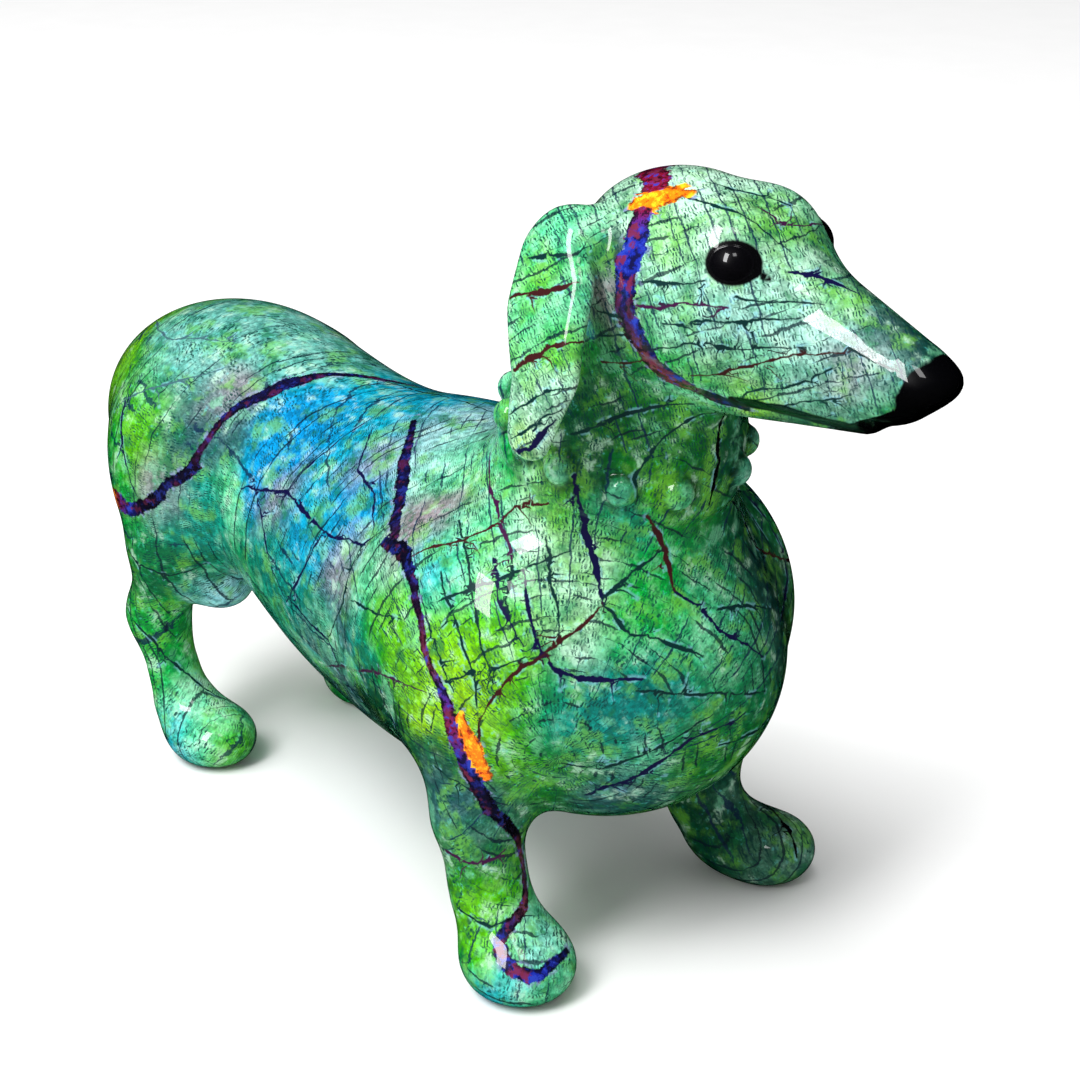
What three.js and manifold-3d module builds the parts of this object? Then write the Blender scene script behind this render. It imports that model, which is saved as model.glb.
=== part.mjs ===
// A glazed ceramic dachshund, standing: hollow castings joined with slip, with applied legs, ears,
// tail, eyes and a studded collar. Millimetres, +Z up, +X towards the nose, +Y to the dog's left.
import * as THREE from 'three';
import { LoftGeometry } from 'three/addons/geometries/LoftGeometry.js';
import { mergeVertices } from 'three/addons/utils/BufferGeometryUtils.js';
import Module from 'manifold-3d';

const wasm = await Module();
wasm.setup();

// ---- driving dimensions ----
const WALL = 5;                 // thickness of the slip-cast shells
const GAP = 0.3;                // clearance between neighbouring pieces
const TIP_CUT = 1;              // how far short of a rounded end its last section sits
const LAP = 3;                  // how far a hollow runs past the seam so that it opens there

// The seam between the two castings: a slanted plane across the neck, hidden by the collar.
const SEAM = { x: 75, y: 0.5, z: 135, heading: 72 };

// ---- the modelled masses: centre, half axes, and how softly each melts into the ones before ----
const TORSO = [
  { at: [47, 0, 76], half: [58, 47, 46], melt: 0 },          // ribcage
  { at: [-7, 0, 79], half: [58, 42, 41.5], melt: 30 },       // waist
  { at: [-85, 0, 95], half: [54, 36, 36], melt: 30 },        // croup
  { at: [77, 0, 75], half: [36, 38, 36], melt: 18 },         // breast
  { at: [59, -38, 82], half: [32, 17, 31], melt: 14 },       // right shoulder
  { at: [59, 38, 82], half: [32, 17, 31], melt: 14 },        // left shoulder
  { at: [-72, -21.5, 55.5], half: [8, 8, 7.5], melt: 2.5 },  // right boss under the belly
  { at: [-72, 21.5, 55.5], half: [8, 8, 7.5], melt: 2.5 },   // left boss under the belly
];
const NECK = [[62, 0, 94, 34], [74, 1, 130, 25], [88, 3, 160, 20]];
const NECK_MELT = 14;

// The head has its own frame: origin between the eyes, turned a little to the dog's left.
const HEAD_AT = [119, 2.5, 182];
const HEAD_TURN = 5;
const HEAD_MELT = 10;
const SKULL = [
  { at: [-22.5, 0, -3.5], half: [27.5, 21.5, 21.5], melt: 0 },
  { at: [-14, -12, -13], half: [20, 11, 13], melt: 10 },     // right cheek
  { at: [-14, 12, -13], half: [20, 11, 13], melt: 10 },      // left cheek
  { at: [-5, -9, 6], half: [9, 7.5, 8], melt: 8 },           // right brow
  { at: [-5, 9, 6], half: [9, 7.5, 8], melt: 8 },            // left brow
];
const MUZZLE = [[3, 0, -8, 14.6], [38, 0, -18, 9]];
const MUZZLE_MELT = 14;
const LIPS = [[-8, 0, -20, 12.5], [32, 0, -22.5, 5.8]];
const LIPS_MELT = 8;
const JAW = [[-5, 0, -26, 9.5], [28, 0, -28.5, 4]];
const JAW_MELT = 5;
const NOSE = [{ at: [44, 0, -18], half: [6.5, 7.5, 4.5], melt: 0 }];
const NOSE_MELT = 4;
const EYE = { at: [3.2, 15.8, 4], half: [5, 2.6, 4.4], yaw: 32 };
// An ear is a sheet: an outline of tapering rounds seen from the side (x, z, radius), and a root
// that joins it to the skull. The sheet stands off from the skull as it hangs.
const EAR = {
  outline: [[-40, 1.5, 8.7], [-36.5, -8, 11.6], [-32.3, -23, 9.4], [-34.6, -36.4, 6.4]],
  top: 11,
  length: 56,
  standoff: 20,
  flare: 20,
  halfThick: 3.2,
  edge: 5,
  root: { at: [-37, 17, 4], half: [8, 8, 5.5] },
  rootMelt: 5,
};
const EAR_LINE = [
  [-38, 20.5, 8.3], [-38, 25.5, 0], [-36, 30.6, -9], [-32.5, 35.6, -21], [-34, 38.9, -33],
  [-34.6, 39.9, -41.2],
];

// ---- limbs: a chain of tapering bones (x, y, z, radius), a paw, and the line down the middle ----
const LEG_MELT = 10;
const FRONT_RIGHT = {
  side: -1,
  bones: [[63, 34, 66, 16.5], [66.5, 41.5, 42, 9.5], [71.5, 43, 24, 7.5], [76.5, 42.5, 10, 10]],
  masses: [{ at: [83.5, 43, 7.5], half: [13.5, 13, 9.5], melt: 0 }],
  line: [[79, 42.5, 0], [78, 42.5, 10], [71.5, 43, 24], [66.5, 41.5, 42], [63, 34, 66], [63, 34, 82]],
};
const FRONT_LEFT = {
  side: 1,
  bones: [[62, 32, 66, 18], [69.5, 34, 43, 11], [69.5, 32.5, 22, 7.5], [73.5, 34.5, 12, 9]],
  masses: [{ at: [85, 41, 7.5], half: [13.5, 13, 9.5], melt: 0, turn: 28 }],
  line: [[79, 38, 0], [78, 37, 9], [71, 34, 22], [69.5, 34, 43], [62, 32, 66], [62, 32, 83]],
};
const hindLeg = (side) => ({
  side,
  bones: [[-85.5, 31, 62, 11], [-94, 32, 42, 7], [-86, 31.5, 18, 8]],
  masses: [
    { at: [-75, 29, 7.5], half: [15.5, 12.5, 9.5], melt: 0 },
    { at: [-84, 25, 84], half: [25, 18.5, 30], melt: 12 },
  ],
  line: [[-79, 30, 0], [-80, 30, 9], [-88, 31.5, 22], [-93, 32, 42], [-84, 30, 64], [-80.5, 25, 113]],
});
const TAIL = [[-128, 3, 104, 10], [-138, 8, 86, 8], [-139, 13, 66, 6.5], [-132, 17, 48, 4.5]];
const TAIL_LINE = [[-128, 3, 113], [-138, 8, 86], [-139, 13, 66], [-132, 17, 44.2]];
const TAIL_MELT = 6;

const COLLAR = { halfWidth: 8.5, thick: 1.1, corner: 0.8 };
const STUD = { radius: 4, rise: 2.4, rim: 0.6, standoff: 0.4 };
const STUD_TURNS = [24, 51, 78, 105, 132, 159, 186, 213, 239, 264, 287, 317, 344];
const VENT = { x: -15, radius: 4 };

// ---- materials ----
const GLAZE = { color: 0x6fc39a, roughness: 0.08, metalness: 0 };
const BLACK_GLAZE = { color: 0x050507, roughness: 0.05, metalness: 0 };

// ---- distance fields: negative inside, positive outside, close to millimetres near the skin ----
const radians = THREE.MathUtils.degToRad;

function melted(a, b, softness) {
  if (softness <= 0) return Math.min(a, b);
  const h = Math.max(softness - Math.abs(a - b), 0) / softness;
  return Math.min(a, b) - h * h * softness / 4;
}

function ellipsoid({ at, half, turn = 0 }) {
  const c = Math.cos(radians(turn));
  const s = Math.sin(radians(turn));
  return (x, y, z) => {
    const dx = x - at[0];
    const dy = y - at[1];
    const q = [(c * dx + s * dy) / half[0], (c * dy - s * dx) / half[1], (z - at[2]) / half[2]];
    const k0 = Math.hypot(q[0], q[1], q[2]);
    const k1 = Math.hypot(q[0] / half[0], q[1] / half[1], q[2] / half[2]);
    return k0 * (k0 - 1) / Math.max(k1, 1e-9);
  };
}

function bone([ax, ay, az, ra], [bx, by, bz, rb]) {
  const a = new THREE.Vector3(ax, ay, az);
  const axis = new THREE.Vector3(bx, by, bz).sub(a);
  const length = axis.length();
  axis.divideScalar(length);
  const slope = (ra - rb) / length;
  const cosine = Math.sqrt(1 - slope * slope);
  return (x, y, z) => {
    const p = new THREE.Vector3(x, y, z).sub(a);
    const along = p.dot(axis);
    const off = Math.sqrt(Math.max(p.lengthSq() - along * along, 0));
    const foot = along - off * slope / cosine;
    if (foot <= 0) return p.length() - ra;
    if (foot >= length) return Math.hypot(along - length, off) - rb;
    return off * cosine + along * slope - ra;
  };
}

function massField(masses) {
  const parts = masses.map((mass) => ({ field: ellipsoid(mass), melt: mass.melt }));
  return (x, y, z) => parts.reduce((d, part) => melted(d, part.field(x, y, z), part.melt), Infinity);
}

function chainField(joints, softness) {
  const bones = joints.slice(1).map((joint, i) => bone(joints[i], joint));
  return (x, y, z) => bones.reduce((d, field) => melted(d, field(x, y, z), softness), Infinity);
}

const join = (a, b, softness) => (x, y, z) => melted(a(x, y, z), b(x, y, z), softness);
const grown = (field, margin) => (x, y, z) => field(x, y, z) - margin;
const mirrored = (field, side) => (x, y, z) => field(x, side * y, z);

const headFrame = new THREE.Matrix4().makeRotationZ(radians(HEAD_TURN)).setPosition(...HEAD_AT);
const headFrameBack = headFrame.clone().invert();
const inHead = (field) => (x, y, z) => {
  const p = new THREE.Vector3(x, y, z).applyMatrix4(headFrameBack);
  return field(p.x, p.y, p.z);
};

const snoutField = join(massField(SKULL), chainField(MUZZLE, 0), MUZZLE_MELT);
const lippedField = join(snoutField, chainField(LIPS, 0), LIPS_MELT);
const jawedField = join(lippedField, chainField(JAW, 0), JAW_MELT);
const headField = inHead(join(jawedField, massField(NOSE), NOSE_MELT));
const bodyField = join(massField(TORSO), chainField(NECK, 14), NECK_MELT);
const dogField = join(bodyField, headField, HEAD_MELT);

// ---- sections: rings cast from a station on the spine out to the skin ----
const CAST_STEP = 1.5;
const CAST_LIMIT = 120;

function castToSkin(field, from, direction) {
  const inside = (t) => field(
    from.x + t * direction.x, from.y + t * direction.y, from.z + t * direction.z) < 0;
  let far = 0;
  while (far < CAST_LIMIT && inside(far)) far += CAST_STEP;
  let near = Math.max(far - CAST_STEP, 0);
  for (let i = 0; i < 18; i += 1) {
    const middle = (near + far) / 2;
    if (inside(middle)) near = middle;
    else far = middle;
  }
  return from.clone().addScaledVector(direction, near);
}

// A station is a point and a heading: the angle of travel above +X, in the dog's upright plane.
const ACROSS = new THREE.Vector3(0, 1, 0);
const headingOf = (angle) => new THREE.Vector3(Math.cos(radians(angle)), 0, Math.sin(radians(angle)));
const upFrom = (angle) => new THREE.Vector3(-Math.sin(radians(angle)), 0, Math.cos(radians(angle)));

function section(field, { point, heading }, sides) {
  const up = upFrom(heading);
  return Array.from({ length: sides }, (_, i) => {
    const turn = 2 * Math.PI * i / sides;
    const direction = ACROSS.clone().multiplyScalar(Math.cos(turn)).addScaledVector(up, Math.sin(turn));
    return castToSkin(field, point, direction);
  });
}

const station = (x, y, z, heading) => ({ point: new THREE.Vector3(x, y, z), heading });
const steps = (count) => Array.from({ length: count }, (_, i) => i / (count - 1));

function loftSolid(field, stations, sides) {
  const rings = stations.map((place) => section(field, place, sides));
  return solid(new LoftGeometry(rings, { capStart: true, capEnd: true }));
}

// ---- solids: closed meshes that can be joined and cut ----
function solid(geometry) {
  const bare = new THREE.BufferGeometry();
  bare.setAttribute('position', geometry.getAttribute('position'));
  bare.setIndex(geometry.getIndex());
  const merged = mergeVertices(bare, 1e-4);
  return new wasm.Manifold(new wasm.Mesh({
    numProp: 3,
    vertProperties: Float32Array.from(merged.attributes.position.array),
    triVerts: Uint32Array.from(merged.index.array),
  }));
}

function geometryOf(body) {
  const { vertProperties, triVerts } = body.getMesh();
  const geometry = new THREE.BufferGeometry();
  geometry.setAttribute('position', new THREE.BufferAttribute(vertProperties, 3));
  geometry.setIndex(new THREE.BufferAttribute(triVerts, 1));
  geometry.computeVertexNormals();
  return geometry;
}

const dog = new THREE.Group();

function addPiece(name, geometry, finish) {
  const mesh = new THREE.Mesh(geometry, new THREE.MeshStandardMaterial(finish));
  mesh.name = name;
  dog.add(mesh);
  return mesh;
}

// ---- body casting: upright rings from the croup to the ribs, then a fan up into the neck ----
const BARREL_END = 25;
const BARREL_AXIS = [[-140, 95], [-60, 90], [BARREL_END, 80]];
const seamUp = upFrom(SEAM.heading);
const seamReach = (SEAM.x - BARREL_END) / -seamUp.x;
const NAPE_PIVOT = { x: BARREL_END, z: SEAM.z + seamUp.z * seamReach };

function barrelHeight(x) {
  const [a, b] = x < BARREL_AXIS[1][0] ? BARREL_AXIS.slice(0, 2) : BARREL_AXIS.slice(1);
  return THREE.MathUtils.mapLinear(x, a[0], b[0], a[1], b[1]);
}

function bodyStations(field, { barrel, fan, past }) {
  const start = new THREE.Vector3(BARREL_AXIS[1][0], 0, BARREL_AXIS[0][1]);
  const rump = castToSkin(field, start, new THREE.Vector3(-1, 0, 0)).x + TIP_CUT;
  const stations = steps(barrel).map((t) => {
    const x = rump + (BARREL_END - rump) * (1 - Math.cos(t * Math.PI / 2));
    return station(x, 0, barrelHeight(x), 0);
  });
  const startReach = NAPE_PIVOT.z - barrelHeight(BARREL_END);
  for (const t of steps(fan).slice(1)) {
    const heading = t * SEAM.heading;
    const reach = THREE.MathUtils.lerp(startReach, seamReach, t);
    const up = upFrom(heading);
    stations.push(station(NAPE_PIVOT.x - up.x * reach, SEAM.y * t, NAPE_PIVOT.z - up.z * reach, heading));
  }
  const last = stations.at(-1);
  last.point.addScaledVector(headingOf(SEAM.heading), past > 0 ? 0 : past);
  if (past > 0) {
    const beyond = last.point.clone().addScaledVector(headingOf(SEAM.heading), past);
    stations.push({ point: beyond, heading: SEAM.heading });
  }
  return stations;
}

function bodySolid(margin, counts, sides) {
  const field = grown(dogField, margin);
  return loftSolid(field, bodyStations(grown(bodyField, margin), counts), sides);
}

const bodyCounts = { barrel: 17, fan: 13, past: -GAP / 2 };
const hollowCounts = { barrel: 10, fan: 8, past: LAP };
const bodyCutter = bodySolid(GAP, bodyCounts, 32);
const vent = new THREE.CylinderGeometry(VENT.radius, VENT.radius, 60, 20);
vent.rotateX(Math.PI / 2).translate(VENT.x, 0, 30);
const bodyCasting = bodySolid(0, bodyCounts, 32)
  .subtract(bodySolid(-WALL, hollowCounts, 18))
  .subtract(solid(vent));

// ---- head casting: up from the seam, a fan round the throat, then along the muzzle ----
const THROAT_PIVOT = { x: 116, z: 136 };
const SNOUT_HEADING = -16;
const NECK_RISE = 15;
const headSideways = (x) => HEAD_AT[1] + (x - HEAD_AT[0]) * Math.tan(radians(HEAD_TURN));

function headStations(field, { rise, fan, snout, past }) {
  const seamHeading = headingOf(SEAM.heading);
  const stations = steps(rise).map((t) => {
    const along = THREE.MathUtils.lerp(past, NECK_RISE, t);
    const point = new THREE.Vector3(SEAM.x, SEAM.y, SEAM.z).addScaledVector(seamHeading, along);
    return { point, heading: SEAM.heading };
  });
  const neckTop = stations.at(-1).point;
  const startReach = Math.hypot(neckTop.x - THROAT_PIVOT.x, neckTop.z - THROAT_PIVOT.z);
  const endReach = 33;
  for (const t of steps(fan).slice(1)) {
    const heading = THREE.MathUtils.lerp(SEAM.heading, SNOUT_HEADING, t);
    const reach = THREE.MathUtils.lerp(startReach, endReach, t);
    const up = upFrom(heading);
    const x = THROAT_PIVOT.x + up.x * reach;
    stations.push(station(x, headSideways(x), THROAT_PIVOT.z + up.z * reach, heading));
  }
  const eyes = stations.at(-1).point;
  const noseWay = new THREE.Vector3(...NOSE[0].at).applyMatrix4(headFrame).sub(eyes).normalize();
  const tip = castToSkin(field, eyes, noseWay).addScaledVector(noseWay, -TIP_CUT);
  for (const t of steps(snout).slice(1)) {
    const point = new THREE.Vector3().lerpVectors(eyes, tip, Math.sin(t * Math.PI / 2));
    stations.push({ point, heading: SNOUT_HEADING });
  }
  return stations;
}

function headSolid(margin, counts, sides) {
  const field = grown(dogField, margin);
  return loftSolid(field, headStations(field, counts), sides);
}

const headCounts = { rise: 4, fan: 11, snout: 11, past: GAP / 2 };
const headHollowCounts = { rise: 3, fan: 7, snout: 6, past: -LAP };
const headCutter = headSolid(GAP, headCounts, 28);

function eyeGeometry(side, margin) {
  const eye = new THREE.SphereGeometry(1, 16, 10);
  eye.rotateX(Math.PI / 2);
  eye.scale(...EYE.half.map((half) => half + margin));
  eye.rotateZ(radians(-side * EYE.yaw));
  eye.translate(EYE.at[0], side * EYE.at[1], EYE.at[2]);
  return eye.applyMatrix4(headFrame);
}

const headCasting = headSolid(0, headCounts, 28)
  .subtract(headSolid(-WALL, headHollowCounts, 16))
  .subtract(solid(eyeGeometry(1, GAP)))
  .subtract(solid(eyeGeometry(-1, GAP)));

addPiece('body_casting', geometryOf(bodyCasting), GLAZE);
addPiece('head_casting', geometryOf(headCasting), GLAZE);

// ---- luted pieces: lofted along a line through their middle, then fitted to the castings ----
const UPRIGHT = 90;

function fitted(piece) {
  return geometryOf(piece.subtract(bodyCutter).subtract(headCutter));
}

function lineStations(points, count, heading) {
  const line = new THREE.CatmullRomCurve3(points.map((point) => new THREE.Vector3(...point)));
  return line.getPoints(count - 1).map((point) => ({ point, heading }));
}

function legSolid({ side, bones, masses, line }) {
  const field = mirrored(join(chainField(bones, LEG_MELT), massField(masses), LEG_MELT), side);
  const middle = line.map(([x, y, z]) => [x, side * y, z]);
  return loftSolid(field, lineStations(middle, 16, UPRIGHT), 18);
}

addPiece('front_right_leg', fitted(legSolid(FRONT_RIGHT)), GLAZE);
addPiece('front_left_leg', fitted(legSolid(FRONT_LEFT)), GLAZE);
addPiece('hind_right_leg', fitted(legSolid(hindLeg(-1))), GLAZE);
addPiece('hind_left_leg', fitted(legSolid(hindLeg(1))), GLAZE);

const earOutline = chainField(EAR.outline.map(([x, z, radius]) => [x, 0, z, radius]), 0);
const earRoot = ellipsoid(EAR.root);

function earField(x, y, z) {
  const t = THREE.MathUtils.clamp((EAR.top - z) / EAR.length, 0, 1) * Math.PI / 2;
  const middle = EAR.standoff + EAR.flare * Math.sin(t);
  const lean = EAR.flare / EAR.length * Math.PI / 2 * Math.cos(t);
  const sheet = Math.abs(y - middle) / Math.hypot(1, lean) - EAR.halfThick;
  const leaf = -melted(-earOutline(x, 0, z), -sheet, EAR.edge);
  return melted(leaf, earRoot(x, y, z), EAR.rootMelt);
}

function earSolid(side) {
  const field = inHead(mirrored(earField, side));
  const middle = EAR_LINE.map(([x, y, z]) => (
    new THREE.Vector3(x, side * y, z).applyMatrix4(headFrame).toArray())).reverse();
  return loftSolid(field, lineStations(middle, 15, UPRIGHT), 16);
}

addPiece('right_ear', fitted(earSolid(-1)), GLAZE);
addPiece('left_ear', fitted(earSolid(1)), GLAZE);

const tailStations = lineStations(TAIL_LINE.toReversed(), 12, UPRIGHT);
const tailSolid = loftSolid(chainField(TAIL, TAIL_MELT), tailStations, 12);
addPiece('tail', fitted(tailSolid), GLAZE);

addPiece('right_eye', eyeGeometry(-1, 0), BLACK_GLAZE);
addPiece('left_eye', eyeGeometry(1, 0), BLACK_GLAZE);

// ---- collar: a band swept round the neck over the seam, carrying domed studs ----
const seamCentre = new THREE.Vector3(SEAM.x, SEAM.y, SEAM.z);
const seamAxis = headingOf(SEAM.heading);
const throatWay = upFrom(SEAM.heading).negate();

function neckSkin(turn, along) {
  const direction = throatWay.clone().multiplyScalar(Math.cos(turn)).addScaledVector(ACROSS, Math.sin(turn));
  const from = seamCentre.clone().addScaledVector(seamAxis, along);
  return { skin: castToSkin(dogField, from, direction), direction };
}

function collarSection(turn) {
  const { halfWidth, thick, corner } = COLLAR;
  const profile = [
    [-halfWidth, 0], [-halfWidth, thick - corner], [corner - halfWidth, thick], [0, thick],
    [halfWidth - corner, thick], [halfWidth, thick - corner], [halfWidth, 0], [0, 0],
  ];
  return profile.map(([along, rise]) => {
    const { skin, direction } = neckSkin(turn, along);
    return skin.addScaledVector(direction, GAP + rise);
  });
}

const COLLAR_STEPS = 40;
const collarRings = Array.from({ length: COLLAR_STEPS }, (_, i) => (
  collarSection(-2 * Math.PI * i / COLLAR_STEPS)));
collarRings.push(collarRings[0].map((point) => point.clone()));
addPiece('collar_band', geometryOf(solid(new LoftGeometry(collarRings))), GLAZE);

function studGeometry() {
  const { radius, rise, rim } = STUD;
  const profile = [new THREE.Vector2(0, 0), new THREE.Vector2(radius, 0)];
  for (const t of steps(4)) {
    const angle = t * Math.PI / 2;
    profile.push(new THREE.Vector2(radius * Math.cos(angle), rim + (rise - rim) * Math.sin(angle)));
  }
  profile.at(-1).x = 0;
  return geometryOf(solid(new THREE.LatheGeometry(profile, 12)));
}

function skinNormal({ x, y, z }) {
  const h = 0.5;
  return new THREE.Vector3(
    dogField(x + h, y, z) - dogField(x - h, y, z),
    dogField(x, y + h, z) - dogField(x, y - h, z),
    dogField(x, y, z + h) - dogField(x, y, z - h)).normalize();
}

const LATHE_AXIS = new THREE.Vector3(0, 1, 0);
for (const [i, turn] of STUD_TURNS.entries()) {
  const { skin } = neckSkin(radians(turn), 0);
  const normal = skinNormal(skin);
  const stud = addPiece(`collar_stud_${String(i + 1).padStart(2, '0')}`, studGeometry(), GLAZE);
  stud.position.copy(skin).addScaledVector(normal, GAP + COLLAR.thick + STUD.standoff);
  stud.quaternion.setFromUnitVectors(LATHE_AXIS, normal);
}

// ---- the part's origin: on the ground, under the middle of its box ----
const figurine = new THREE.Group();
figurine.add(dog);
figurine.updateMatrixWorld(true);
const box = new THREE.Box3().setFromObject(figurine, true);
dog.position.set(-(box.min.x + box.max.x) / 2, -(box.min.y + box.max.y) / 2, -box.min.z);

export default figurine;
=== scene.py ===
"""A glazed ceramic dachshund with a cracked end-grain wood print, standing on a pale studio floor."""

import math
from functools import partial, reduce

import bpy
import numpy as np
from mathutils import Matrix, Vector


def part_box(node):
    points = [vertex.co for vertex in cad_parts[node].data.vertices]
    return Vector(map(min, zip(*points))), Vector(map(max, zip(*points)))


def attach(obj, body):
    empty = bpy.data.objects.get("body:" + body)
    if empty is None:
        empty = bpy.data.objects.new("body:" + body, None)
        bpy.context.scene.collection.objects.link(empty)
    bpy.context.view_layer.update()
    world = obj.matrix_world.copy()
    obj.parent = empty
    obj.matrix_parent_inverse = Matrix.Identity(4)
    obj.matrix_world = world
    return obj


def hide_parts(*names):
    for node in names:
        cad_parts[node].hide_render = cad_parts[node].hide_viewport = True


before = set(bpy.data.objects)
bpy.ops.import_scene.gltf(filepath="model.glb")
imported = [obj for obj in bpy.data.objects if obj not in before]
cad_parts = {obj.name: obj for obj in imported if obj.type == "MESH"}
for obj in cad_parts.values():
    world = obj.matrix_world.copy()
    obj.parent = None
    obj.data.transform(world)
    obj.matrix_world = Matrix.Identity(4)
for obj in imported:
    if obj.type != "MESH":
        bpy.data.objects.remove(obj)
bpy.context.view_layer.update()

MM = 0.001                     # the sculpture is described in millimetres, as the CAD is
HEAD_AT = np.array([119, 2.5, 182])
HEAD_TURN = 5
EYE_AT = (3.2, 15.8, 4)
EYES = {"right_eye": -1, "left_eye": 1}


def turned(p, degrees):
    c, s = math.cos(math.radians(degrees)), math.sin(math.radians(degrees))
    return np.stack([c * p[:, 0] + s * p[:, 1], c * p[:, 1] - s * p[:, 0], p[:, 2]], 1)


def from_head(q):
    return turned(np.atleast_2d(np.array(q, float)), -HEAD_TURN) + HEAD_AT


def eye_centre(side):
    return from_head(np.array(EYE_AT) * (1, side, 1))[0]


def unit(way):
    return way / np.linalg.norm(way)


# ---- the origin: where the CAD's eyes put the sculpture in the frame ----
def frame_offset():
    centre = np.zeros(3)
    for node, side in EYES.items():
        low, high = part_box(node)
        centre += (np.array(low) + np.array(high)) / 2 / MM
        centre -= eye_centre(side)
    return centre / 2


OFFSET = frame_offset()


def in_frame(p):
    return (p + OFFSET) * MM


def placed(name, data):
    """A new object in the scene."""
    found = bpy.data.objects.new(name, data)
    bpy.context.scene.collection.objects.link(found)
    return found


# ---- the camera ----
CAMERA_AZIMUTH = 49.4
CAMERA_ELEVATION = 22.2
CAMERA_ROLL = -1.46
CAMERA_DISTANCE = 600
CAMERA_LENS = 76.3
CAMERA_SENSOR = 36
CAMERA_AIM = np.array([31.7, 10.5, 89.2])


def direction(azimuth, elevation):
    a, e = math.radians(azimuth), math.radians(elevation)
    return Vector((math.sin(a) * math.cos(e), -math.cos(a) * math.cos(e), math.sin(e)))


def make_camera():
    data = bpy.data.cameras.new("camera")
    data.lens = CAMERA_LENS
    data.sensor_width = CAMERA_SENSOR
    camera = placed("camera", data)
    back = direction(CAMERA_AZIMUTH, CAMERA_ELEVATION)
    camera.location = Vector(in_frame(CAMERA_AIM)) + back * CAMERA_DISTANCE * MM
    upright = (-back).to_track_quat("-Z", "Y").to_matrix()
    roll = Matrix.Rotation(math.radians(CAMERA_ROLL), 3, "Z")
    camera.rotation_euler = (upright @ roll).to_euler()
    bpy.context.scene.camera = camera


make_camera()


# ---- the modelled masses, as in the CAD: centre, half axes, softness of the join, turn ----
def pair(at, half, softness):
    """The same mass on the right and on the left."""
    return [((at[0], side * at[1], at[2]), half, softness, 0) for side in (-1, 1)]


TORSO = [
    ((47, 0, 76), (58, 47, 46), 0, 0),              # ribcage
    ((-7, 0, 79), (58, 42, 41.5), 30, 0),           # waist
    ((-85, 0, 95), (54, 36, 36), 30, 0),            # croup
    ((77, 0, 75), (36, 38, 36), 18, 0),             # breast
    *pair((59, 38, 82), (32, 17, 31), 14),          # shoulders
    *pair((-72, 21.5, 55.5), (8, 8, 7.5), 2.5),     # bosses under the belly
]
NECK = [(62, 0, 94, 34), (74, 1, 130, 25), (88, 3, 160, 20)]
NECK_BEND = 14
NECK_MELT = 14
HEAD_MELT = 10
SKULL = [
    ((-22.5, 0, -3.5), (27.5, 21.5, 21.5), 0, 0),
    *pair((-14, 12, -13), (20, 11, 13), 10),        # cheeks
    *pair((-5, 9, 6), (9, 7.5, 8), 8),              # brows
]
MUZZLE = [(3, 0, -8, 14.6), (38, 0, -18, 9)]
MUZZLE_MELT = 14
LIPS = [(-8, 0, -20, 12.5), (32, 0, -22.5, 5.8)]
LIPS_MELT = 8
JAW = [(-5, 0, -26, 9.5), (28, 0, -28.5, 4)]
JAW_MELT = 5
NOSE = ((44, 0, -18), (6.5, 7.5, 4.5))
NOSE_MELT = 4
EYE_YAW = 32
EAR_OUTLINE = [(-40, 1.5, 8.7), (-36.5, -8, 11.6), (-32.3, -23, 9.4), (-34.6, -36.4, 6.4)]   # x, z, radius
EAR_TOP = 11
EAR_LENGTH = 56
EAR_ROOT = 20                  # how far from the midline the ear starts, and how far it then stands off
EAR_FLARE = 20
EAR_HALF_THICK = 3.2
EAR_EDGE = 5
EAR_BASE_AT = (-37, 17, 4)
EAR_BASE_HALF = (8, 8, 5.5)
EAR_BASE_MELT = 5
EAR_MELT = 4
LEG_MELT = 10
FRONT_RIGHT = {
    "bones": [(63, 34, 66, 16.5), (66.5, 41.5, 42, 9.5), (71.5, 43, 24, 7.5), (76.5, 42.5, 10, 10)],
    "masses": [((83.5, 43, 7.5), (13.5, 13, 9.5), 0, 0)],
    "melt": 10,
}
FRONT_LEFT = {
    "bones": [(62, 32, 66, 18), (69.5, 34, 43, 11), (69.5, 32.5, 22, 7.5), (73.5, 34.5, 12, 9)],
    "masses": [((85, 41, 7.5), (13.5, 13, 9.5), 0, 28)],
    "melt": 10,
}
HIND = {
    "bones": [(-85.5, 31, 62, 11), (-94, 32, 42, 7), (-86, 31.5, 18, 8)],
    "masses": [((-75, 29, 7.5), (15.5, 12.5, 9.5), 0, 0), ((-84, 25, 84), (25, 18.5, 30), 12, 0)],
    "melt": 12,
}
LEGS = {"front_right_leg": (FRONT_RIGHT, -1), "front_left_leg": (FRONT_LEFT, 1),
        "hind_right_leg": (HIND, -1), "hind_left_leg": (HIND, 1)}
TAIL = [(-128, 3, 104, 10), (-138, 8, 86, 8), (-139, 13, 66, 6.5), (-132, 17, 48, 4.5)]
TAIL_BEND = 6
TAIL_MELT = 8
SEAM = np.array([75, 0.5, 135])
SEAM_HEADING = 72
COLLAR_HALF_WIDTH = 8.5
COLLAR_THICK = 1.1
COLLAR_REACH = 46              # how far from the middle of the throat the band may lie
COLLAR_EDGE = 2.5
COLLAR_MELT = 1.2
STUD_TURNS = [24, 51, 78, 105, 132, 159, 186, 213, 239, 264, 287, 317, 344]
STUD_RADIUS = 4.2
STUD_OUT = 0.2                 # how far a stud's centre stands off the skin
STUD_MELT = 1
VENT_X = -15
VENT_RADIUS = 4
VENT_TOP = 60
VENT_EDGE = 1
SOLE_EDGE = 2


# ---- distance fields over arrays of points: negative inside, in millimetres near the skin ----
FAR = 1e9


def melt(a, b, softness):
    if softness <= 0:
        return np.minimum(a, b)
    h = np.maximum(softness - np.abs(a - b), 0) / softness
    return np.minimum(a, b) - h * h * softness / 4


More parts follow.
